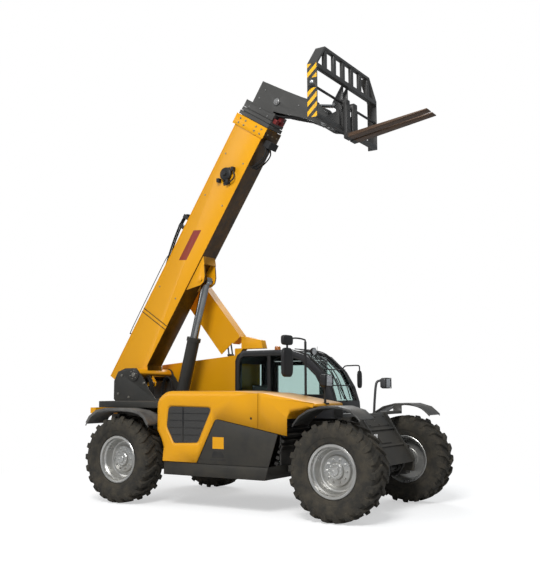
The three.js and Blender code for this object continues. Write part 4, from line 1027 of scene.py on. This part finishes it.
lamps = (("right", 1.430, -0.850, 1.675), ("left", 1.365, 1.050, 1.650))
for side, x, y, z in lamps:
    bm = bmesh.new()
    points = rounded([(-0.080, -0.065), (0.080, -0.065), (0.080, 0.065), (-0.080, 0.065)], [0.03] * 4, 4)
    faces = []
    for r, out in ((1.0, 0.0), (0.98, 0.004), (0.6, 0.0075), (0.2, 0.009)):
        faces.append([bm.verts.new(spot(x + 0.050 + out - 0.004, y + a * r, z + b * r)) for a, b in points])
    for a, b in zip(faces, faces[1:]):
        for i in range(len(points)):
            bm.faces.new((a[i], b[i], b[(i + 1) % len(points)], a[(i + 1) % len(points)]))
    bm.faces.new(faces[-1])
    bm.faces.new(list(reversed(faces[0])))
    finished(bm, f"headlamp_{side}_lens", lens, "chassis", sharp=60)
    bm = bmesh.new()
    for a, b in (((-0.092, -0.076), (0.092, -0.066)), ((-0.092, 0.066), (0.092, 0.076)),
                 ((-0.092, -0.076), (-0.082, 0.076)), ((0.082, -0.076), (0.092, 0.076))):
        plate(bm, (x + 0.046, y + a[0], z + a[1]), (x + 0.058, y + b[0], z + b[1]))
    for k in range(5):
        plate(bm, (x - 0.048, y - 0.07 + 0.03 * k, z - 0.06), (x - 0.039, y - 0.062 + 0.03 * k, z + 0.06))
    finished(bm, f"headlamp_{side}_trim", black, "chassis", 0.002)

bm = bmesh.new()
for low, high in ((1.760, 2.065), (2.155, 2.245)):
    plate(bm, (0.8335, -0.955, low), (0.8365, -0.770, high))
plate(bm, (0.8455, 1.185, 1.615), (0.8485, 1.245, 1.800))
finished(bm, "mirror_faces", mirror, "chassis", 0.001)

amber, tree, at = blank_material("amber_lens")
split = add(tree, "ShaderNodeSeparateXYZ", {0: at.outputs["Object"]})
run = maths(tree, "MULTIPLY", split.outputs["Z"], 900.0)
ridge = maths(tree, "SINE", run)
tone = blended(tree, ridge, (0.42, 0.12, 0.01, 1), (0.62, 0.22, 0.02, 1))
relief = roughened(tree, ridge, 0.4, 0.002)
sprayed_on(tree, {"Base Color": tone, "Roughness": 0.2, "Normal": relief, "Coat Weight": 0.6})
lo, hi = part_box("beacon")
bm = bmesh.new()
spun(bm, [(0, 0), (0.055, 0), (0.055, 0.018), (0.046, 0.020), (0.046, 0.055), (0.040, 0.070),
    (0.024, 0.0785), (0, 0.0795)], 40, ((lo.x + hi.x) / 2, (lo.y + hi.y) / 2, lo.z), (0, 0, 1))
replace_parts(finished(bm, "beacon_dome", amber, "chassis"), "beacon")

# Small work lamp on the cab's front corner.
bm = bmesh.new()
bar(bm, [(0.505, 0.40, 2.025), (0.53, 0.40, 2.075)], 0.008, 8)
spun(bm, [(0, -0.045), (0.030, -0.045), (0.052, -0.02), (0.056, 0.014), (0.050, 0.018), (0, 0.018)], 28,
    spot(0.545, 0.40, 2.105), (1, -0.15, -0.1))
finished(bm, "work_lamp", black, "chassis")
bm = bmesh.new()
spun(bm, [(0, 0.0225), (0.030, 0.0215), (0.048, 0.0185), (0.048, 0.016), (0, 0.016)], 28,
    spot(0.545, 0.40, 2.105), (1, -0.15, -0.1))
finished(bm, "work_lamp_lens", lens, "chassis")

# ---- boom ----
# Four box sections in each other, plated in yellow with dark grey heads. Sides carry a red band,
# clamp straps and bolted wear pads; the downward faces get painted shade, a mottled near-black brown.
along = Vector(joints["boom_extend"]["axis"]).normalized()
up = Vector((-along.z, 0, along.x))
boom_turn = Matrix.Rotation(-math.atan2(along.z, along.x), 3, "Y")
RED_LOW, RED_HIGH, RED_SLANT = 0.265, 0.395, 0.55     # the band's edges off the pivot line, its ends' slant


def on_boom(a, y, z):
    """A place on the boom: along it from the pivot, to the left, and off the pivot line."""
    return pivot + along * a + up * z + Vector((0, y, 0))


def boom_hose(bm, points, steps, radius, sides):
    """A flowing hose through places on the boom."""
    pipe(bm, smooth_path([on_boom(*p) for p in points], steps), radius, sides)


def boom_block(bm, near, far, grown, middle):
    """A block from one place on the boom to another, grown both ways and turned to the boom's lean."""
    slab(bm, on_boom(*near) - Vector(grown), on_boom(*far) + Vector(grown), boom_turn, on_boom(*middle))


def coat_over(made):
    """A finish's tree, shader and colour so far, and the place on the machine for a pattern over it."""
    t = made.node_tree
    shader = next(n for n in t.nodes if n.type == "BSDF_PRINCIPLED")
    return t, shader, shader.inputs["Base Color"].links[0].from_socket, add(t, "ShaderNodeTexCoord")


def boom_paint(name, head, red_from=None, red_to=None):
    """The yellow paint with a dark head past one distance, painted shade on downward faces, and a red band
    if asked.
    """
    made = yellow.copy()
    made.name = name
    t, shader, base, at = coat_over(made)
    from_pivot = add(t, "ShaderNodeVectorMath", {0: at.outputs["Object"], 1: tuple(pivot)},
        operation="SUBTRACT")
    far = add(t, "ShaderNodeVectorMath", {0: from_pivot.outputs[0], 1: tuple(along)},
        operation="DOT_PRODUCT")
    high = add(t, "ShaderNodeVectorMath", {0: from_pivot.outputs[0], 1: tuple(up)}, operation="DOT_PRODUCT")
    # Painted shade: faces turned downward are darkened to a near-black brown, its strength mottled by
    # noise.
    shade_mottle_noise = noise(t, at, 5.0, 6.0, 0.7)
    under_side = add(t, "ShaderNodeVectorMath", {0: at.outputs["Normal"], 1: tuple(up)},
        operation="DOT_PRODUCT")
    painted_underside_shade = ranged(t, under_side.outputs["Value"], -0.62, -0.85, 0.0, 1.0)
    mottle = ranged(t, shade_mottle_noise, 0.3, 0.75, 0.99, 0.86)
    under = maths(t, "MULTIPLY", painted_underside_shade, mottle)
    shaded_below = blended(t, under, base, (0.012, 0.007, 0.003, 1))
    colour = shaded_below
    if red_from is not None:
        slant = maths(t, "MULTIPLY", high.outputs["Value"], RED_SLANT)
        place = maths(t, "ADD", far.outputs["Value"], slant)
        after = maths(t, "GREATER_THAN", place, red_from)
        before = maths(t, "LESS_THAN", place, red_to)
        over = maths(t, "GREATER_THAN", high.outputs["Value"], RED_LOW)
        inside = maths(t, "LESS_THAN", high.outputs["Value"], RED_HIGH)
        length = maths(t, "MULTIPLY", after, before)
        height = maths(t, "MULTIPLY", over, inside)
        band = maths(t, "MULTIPLY", length, height)
        fade = ranged(t, far.outputs["Value"], red_from, red_to, 0.93, 1.0)
        weight = maths(t, "MULTIPLY", band, fade)
        red = blended(t, weight, colour, (0.23, 0.012, 0.016, 1))
        colour = red
    if head is not None:
        past = maths(t, "GREATER_THAN", far.outputs["Value"], head)
        dark = blended(t, past, colour, (0.062, 0.061, 0.058, 1))
        colour = dark
    t.links.new(colour, shader.inputs["Base Color"])
    return made


refinish("boom_base", boom_paint("boom_yellow", None, 2.04, 2.56), 0.006)
refinish("boom_section_2", boom_paint("second_section", 4.222), 0.005)
refinish("boom_section_3", boom_paint("third_section", 4.222), 0.005)
neck_grey = painted("neck_grey", (0.054, 0.053, 0.052), (0.034, 0.034, 0.033), dust=(0.14, 0.12, 0.09),
    gloss=0.38, dusty=0.4, wear=0.7, dust_top=5.2)
refinish("boom_section_4", boom_paint("fourth_section", 4.346), 0.005)
refinish("boom_hoses", black, 0.0)

# Wear pad bolts on the collar, clamp straps round the tail, and seams where plates meet.
bm = bmesh.new()
for s in (-1, 1):
    for a in (4.10, 4.17):
        for z in (0.09, 0.20, 0.42, 0.53):
            spun(bm, [(0, 0.010), (0.011, 0.010), (0.011, 0.003), (0.017, 0.003), (0.017, 0)], 6,
                on_boom(a, s * 0.195, z), (0, s, 0))
    for a in (1.30, 2.90, 3.60):
        for z in (0.12, 0.50):
            spun(bm, [(0, 0.007), (0.012, 0.005), (0.014, 0)], 16, on_boom(a, s * 0.175, z), (0, s, 0))
for y in (-0.12, 0, 0.12):
    bolt(bm, on_boom(4.14, y, -0.0002), -up)
finished(bm, "boom_bolts", painted("boom_bolt_zinc", (0.34, 0.30, 0.20), (0.24, 0.20, 0.14), metal=0.6),
    "boom")
bm = bmesh.new()
for a in (0.80, 0.86):
    for s in (-1, 1):
        p = [on_boom(a, s * 0.1765, 0.034), on_boom(a, s * 0.1765, 0.588)]
        pipe(bm, p, 0.006, 6)
    pipe(bm, [on_boom(a, -0.1765, 0.588), on_boom(a, 0.1765, 0.588)], 0.006, 6)
finished(bm, "boom_straps", black, "boom")
bm = bmesh.new()
for s in (-1, 1):
    for z in (0.036, 0.584):
        pipe(bm, [on_boom(-0.385, s * 0.1755, z), on_boom(4.05, s * 0.1755, z)], 0.004, 6)
finished(bm, "boom_seams", yellow, "boom")

# Hose guide wheel on the right side near the head, and two hoses along the upper right edge.
bm = bmesh.new()
for a, z in ((3.20, 0.36), (3.26, 0.20), (3.46, 0.22)):
    slab(bm, on_boom(a, -0.215, z) - Vector((0.022, 0.03, 0.03)),
        on_boom(a, -0.185, z) + Vector((0.022, 0.01, 0.03)))
boom_hose(bm, [(3.46, -0.21, 0.22), (3.36, -0.23, 0.12), (3.20, -0.21, 0.20)], 6, 0.012, 8)
hub = on_boom(3.34, -0.176, 0.30)
spun(bm, [(0, 0.085), (0.028, 0.085), (0.034, 0.078), (0.036, 0.060), (0.085, 0.055), (0.098, 0.046),
    (0.100, 0.020), (0.090, 0.012), (0.040, 0.008), (0.040, 0)], 40, hub, (0, -1, 0))
slab(bm, hub + Vector((-0.06, -0.012, -0.16)), hub + Vector((0.06, 0.004, 0.10)))
finished(bm, "hose_wheel", black, "boom", 0.003)
bm = bmesh.new()
steps = [0.35 + 0.1 * k for k in range(23)]
pipe(bm, [on_boom(a, -0.12 - 0.004 * math.sin(a * 2), 0.612 + 0.006 * math.sin(a * 3.1))
    for a in steps], 0.011, 8)
pipe(bm, [on_boom(a, -0.085, 0.611) for a in steps], 0.011, 8)
for a in (0.5, 1.1, 1.7, 2.3):
    boom_block(bm, (a, -0.14, 0.60), (a, -0.07, 0.60), (0.02, 0, 0.02), (a, -0.10, 0.60))
finished(bm, "boom_top_hoses", black, "boom")

# Sensor cable and hose bundle that run behind the boom's back on stand-off clips.
bm = bmesh.new()
boom_hose(bm, [(0.36, -0.12, 0.598), (0.37, -0.12, 0.640), (0.42, -0.12, 0.662), (1.10, -0.12, 0.672),
    (1.65, -0.12, 0.676), (1.78, -0.12, 0.66)], 8, 0.006, 6)
for y, lift in ((-0.125, 0.0), (-0.100, 0.016), (-0.075, 0.004)):
    boom_hose(bm, [(1.60, y, 0.605), (1.78, y, 0.650 + lift), (2.05, y, 0.700 + lift),
        (2.30, y, 0.722 + lift), (2.46, y, 0.700), (2.50, y, 0.600)], 8, 0.012, 8)
for a in (2.28, 2.44):
    boom_block(bm, (a, -0.10, 0.66), (a, -0.10, 0.66), (0.028, 0.04, 0.07), (a, -0.10, 0.66))
finished(bm, "boom_cable", black, "boom", 0.0)
for name, body, start, stop, half_w, low, high_at in (
    ("second_lip", "boom_2", 4.2855, 4.2905, 0.172, 0.055, 0.565),
    ("third_lip", "boom_3", 4.3455, 4.3505, 0.158, 0.070, 0.550),
):
    bm = bmesh.new()
    corners = ((-half_w, low), (half_w, low), (half_w, high_at), (-half_w, high_at))
    block(bm, [on_boom(a, y, z) for a in (start, stop) for y, z in corners])
    finished(bm, name, seal, body)

# Return lines and valve under the head, in front of the collar.
bm = bmesh.new()
boom_block(bm, (4.02, -0.09, -0.075), (4.02, 0.06, -0.06), (0.06, 0.03, 0.05), (4.02, 0, -0.07))
for y, b in ((-0.10, 0.05), (-0.06, 0.07), (-0.02, 0.04), (0.03, 0.06)):
    boom_hose(bm, [(3.97, y, -0.05), (3.88, y, -0.05 - b), (3.74, y, -0.02 - b), (3.60, y, 0.014)], 5,
        0.011, 8)
finished(bm, "head_valve", black, "boom", 0.004)

# ---- cylinders ----
# Each barrel is dark grey tube with a screwed gland; each rod is hard chrome with a cast eye. The
# lift barrel carries two clamps and a feed line with its valve.
chrome, tree, at = blank_material("hard_chrome")
oil = noise(tree, at, 9.0, 6.0)
film = ranged(tree, oil, 0.3, 0.8, 0.08, 0.24)
tone = blended(tree, oil, (0.42, 0.43, 0.44, 1), (0.24, 0.24, 0.235, 1))
sprayed_on(tree, {"Base Color": tone, "Roughness": film, "Metallic": 1.0})
for name in ("lift", "compensation", "tilt"):
    refinish(f"{name}_barrel", dark_grey if name != "tilt" else neck_grey, 0.0)
    refinish(f"{name}_rod", chrome, 0.0)

base_at = Vector(joints["lift_cylinder_swing"]["pos_m"])
push = Vector(joints["lift_rod_slide"]["axis"]).normalized()
side = Vector((push.z, 0, -push.x))
bm = bmesh.new()
for a in (0.20, 1.02):
    spun(bm, [(0.0805, -0.02), (0.090, -0.02), (0.090, 0.02), (0.0805, 0.02)], 32, base_at + push * a, push,
        closed=True)
spun(bm, [(0.0925, 1.045), (0.098, 1.050), (0.098, 1.095), (0.0925, 1.0995)], 40, base_at, push,
    closed=True)
line = [base_at + push * a + side * (-0.096) + Vector((0, 0.03, 0)) for a in (0.22, 0.5, 0.8, 1.0)]
pipe(bm, line, 0.010, 8)
slab(bm, base_at + push * 0.99 - side * 0.10 - Vector((0.02, -0.01, 0.02)),
    base_at + push * 0.99 - side * 0.08 + Vector((0.02, 0.05, 0.02)))
finished(bm, "lift_barrel_fittings", dark_grey, "lift_barrel")

# ---- head, carriage and forks ----
# The goose-neck plates are bolted and scuffed; the carriage is a welded frame with a load guard,
# black and yellow bands on its outer posts, and two forged forks worn brown by use.
refinish("fork_carriage", neck_grey, 0.004)
fork_brown = painted("worn_forks", (0.120, 0.070, 0.040), (0.060, 0.036, 0.024), dust=(0.16, 0.10, 0.06),
    worn=(0.30, 0.24, 0.18), gloss=0.42, dusty=0.4, wear=0.9, dust_top=6.5, metal=0.25)
tree, shader, base, at = coat_over(fork_brown)
split = add(tree, "ShaderNodeSeparateXYZ", {0: at.outputs["Object"]})
shank = ranged(tree, split.outputs["X"], 1.465 + FORE, 1.425 + FORE)
grey = blended(tree, shank, base, (0.034, 0.033, 0.032, 1))
tree.links.new(grey, shader.inputs["Base Color"])
refinish("forks", fork_brown, 0.004)
bm = bmesh.new()
for s in (-1, 1):
    ring = rounded([(0.062, 5.03), (0.165, 5.03), (0.165, 5.47), (0.062, 5.47)],
        [0.01, 0.03, 0.06, 0.03], 5)
    prism(bm, [spot(1.4236, s * a, b) for a, b in ring], [spot(1.4300, s * a, b) for a, b in ring])
    for z in (5.12, 5.40):
        bolt(bm, spot(1.4295, s * 0.113, z), (1, 0, 0), 0.012, 0.008)
finished(bm, "shank_plates", neck_grey, "carriage", 0.002)

STRIPES_A_METRE = 7.6
BARE_LOW, BARE_HIGH = 5.49, 5.63     # no stripes behind the post's lamp
bands, tree, at = blank_material("warning_bands")
split = add(tree, "ShaderNodeSeparateXYZ", {0: at.outputs["Object"]})
lean = maths(tree, "MULTIPLY", split.outputs["X"], -0.9)
place = maths(tree, "ADD", split.outputs["Z"], lean)
repeats = maths(tree, "MULTIPLY", place, STRIPES_A_METRE)
part = maths(tree, "FRACT", repeats)
stripe = maths(tree, "GREATER_THAN", part, 0.5)
bare_from = maths(tree, "LESS_THAN", split.outputs["Z"], BARE_LOW)
bare_to = maths(tree, "GREATER_THAN", split.outputs["Z"], BARE_HIGH)
covered = maths(tree, "MAXIMUM", bare_from, bare_to)
shown = maths(tree, "MULTIPLY", covered, stripe)
tone = blended(tree, shown, (0.030, 0.030, 0.028, 1), (0.82, 0.44, 0.01, 1))
grime = noise(tree, at, 14.0, 7.0)
dirty = ranged(tree, grime, 0.5, 0.8, 0.0, 0.5)
soiled = blended(tree, dirty, tone, (0.16, 0.13, 0.09, 1))
rough = ranged(tree, grime, 0.0, 1.0, 0.3, 0.6)
sprayed_on(tree, {"Base Color": soiled, "Roughness": rough})
car_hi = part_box("fork_carriage")[1]
bm = bmesh.new()
for s in (-1, 1):
    y = s * (car_hi.y + 0.0002)
    slab(bm, (1.232 + FORE, min(y, y - s * 0.002), 5.095), (1.373 + FORE, max(y, y - s * 0.002), 5.826))
finished(bm, "post_bands", bands, "carriage")
bm = bmesh.new()
for s in (-1, 1):
    y = s * (car_hi.y + 0.0002)
    spun(bm, [(0, 0.022), (0.018, 0.020), (0.026, 0.012), (0.030, 0.0), (0.030, -0.002)], 24,
        spot(1.300, y, 5.575), (0, s, 0))
finished(bm, "post_lamps", lens, "carriage", sharp=50)
bm = bmesh.new()
for s in (-1, 1):
    y = s * car_hi.y
    slab(bm, (1.255 + FORE, min(y, y + s * 0.012), 5.510), (1.345 + FORE, max(y, y + s * 0.012), 5.532))
    hose(bm, [(1.300, y + s * 0.006, 5.54), (1.30, y + s * 0.012, 5.50), (1.25, y + s * 0.004, 5.47)], 5,
        0.006, 6)
finished(bm, "post_lamp_feet", black, "carriage")

bm = bmesh.new()
zinc = painted("head_zinc", (0.42, 0.42, 0.42), (0.30, 0.30, 0.29), gloss=0.3, metal=0.8, dusty=0.2,
    dust_top=6.0)
tool = Vector(joints["carriage_tilt"]["pos_m"])
for s in (-1, 1):
    spun(bm, [(0, 0.022), (0.030, 0.022), (0.036, 0.016), (0.036, 0.002), (0.050, 0.002), (0.050, -0.001)],
        32, on_boom(4.625, s * 0.1905, 0.072), (0, s, 0))
    for a, z in ((4.38, 0.12), (4.38, 0.50), (4.43, 0.30)):
        bolt(bm, on_boom(a, s * 0.165, z), (0, s, 0))
    for a, z in ((4.56, 0.40), (4.70, 0.36), (4.72, -0.30), (4.70, -0.52)):
        bolt(bm, on_boom(a, s * 0.170, z), (0, s, 0), 0.010, 0.009)
finished(bm, "neck_bolts", zinc, "head")
bm = bmesh.new()
for s in (-1, 1):
    spun(bm, [(0, 0.030), (0.032, 0.030), (0.038, 0.024), (0.038, 0.003), (0.055, 0.003), (0.055, 0)], 32,
        tool + Vector((0, s * 0.196, 0)), (0, s, 0))
    spun(bm, [(0, 0.020), (0.022, 0.020), (0.026, 0.015), (0.026, 0)], 24,
        tool + Vector((0.095, s * 0.081, 0.269)), (0, s, 0))
finished(bm, "carriage_pins", zinc, "carriage")
bm = bmesh.new()
for y, sag in ((-0.10, 0.02), (-0.07, 0.035), (-0.13, 0.03)):
    boom_hose(bm, [(4.44, y, 0.03), (4.47, y, -0.06 - sag), (4.53, y, -0.22 - sag), (4.60, y, -0.42),
        (4.63, y, -0.60)], 5, 0.012, 8)
finished(bm, "neck_hoses", black, "head")
bm = bmesh.new()
for at in ((4.36, -0.10, -0.02), (4.37, 0.02, -0.03), (4.42, -0.05, -0.05)):
    boom_block(bm, at, at, (0.035, 0.035, 0.03), at)
finished(bm, "neck_valves", painted("valve_red", (0.20, 0.012, 0.015), (0.10, 0.010, 0.010), gloss=0.4),
    "head", 0.006)
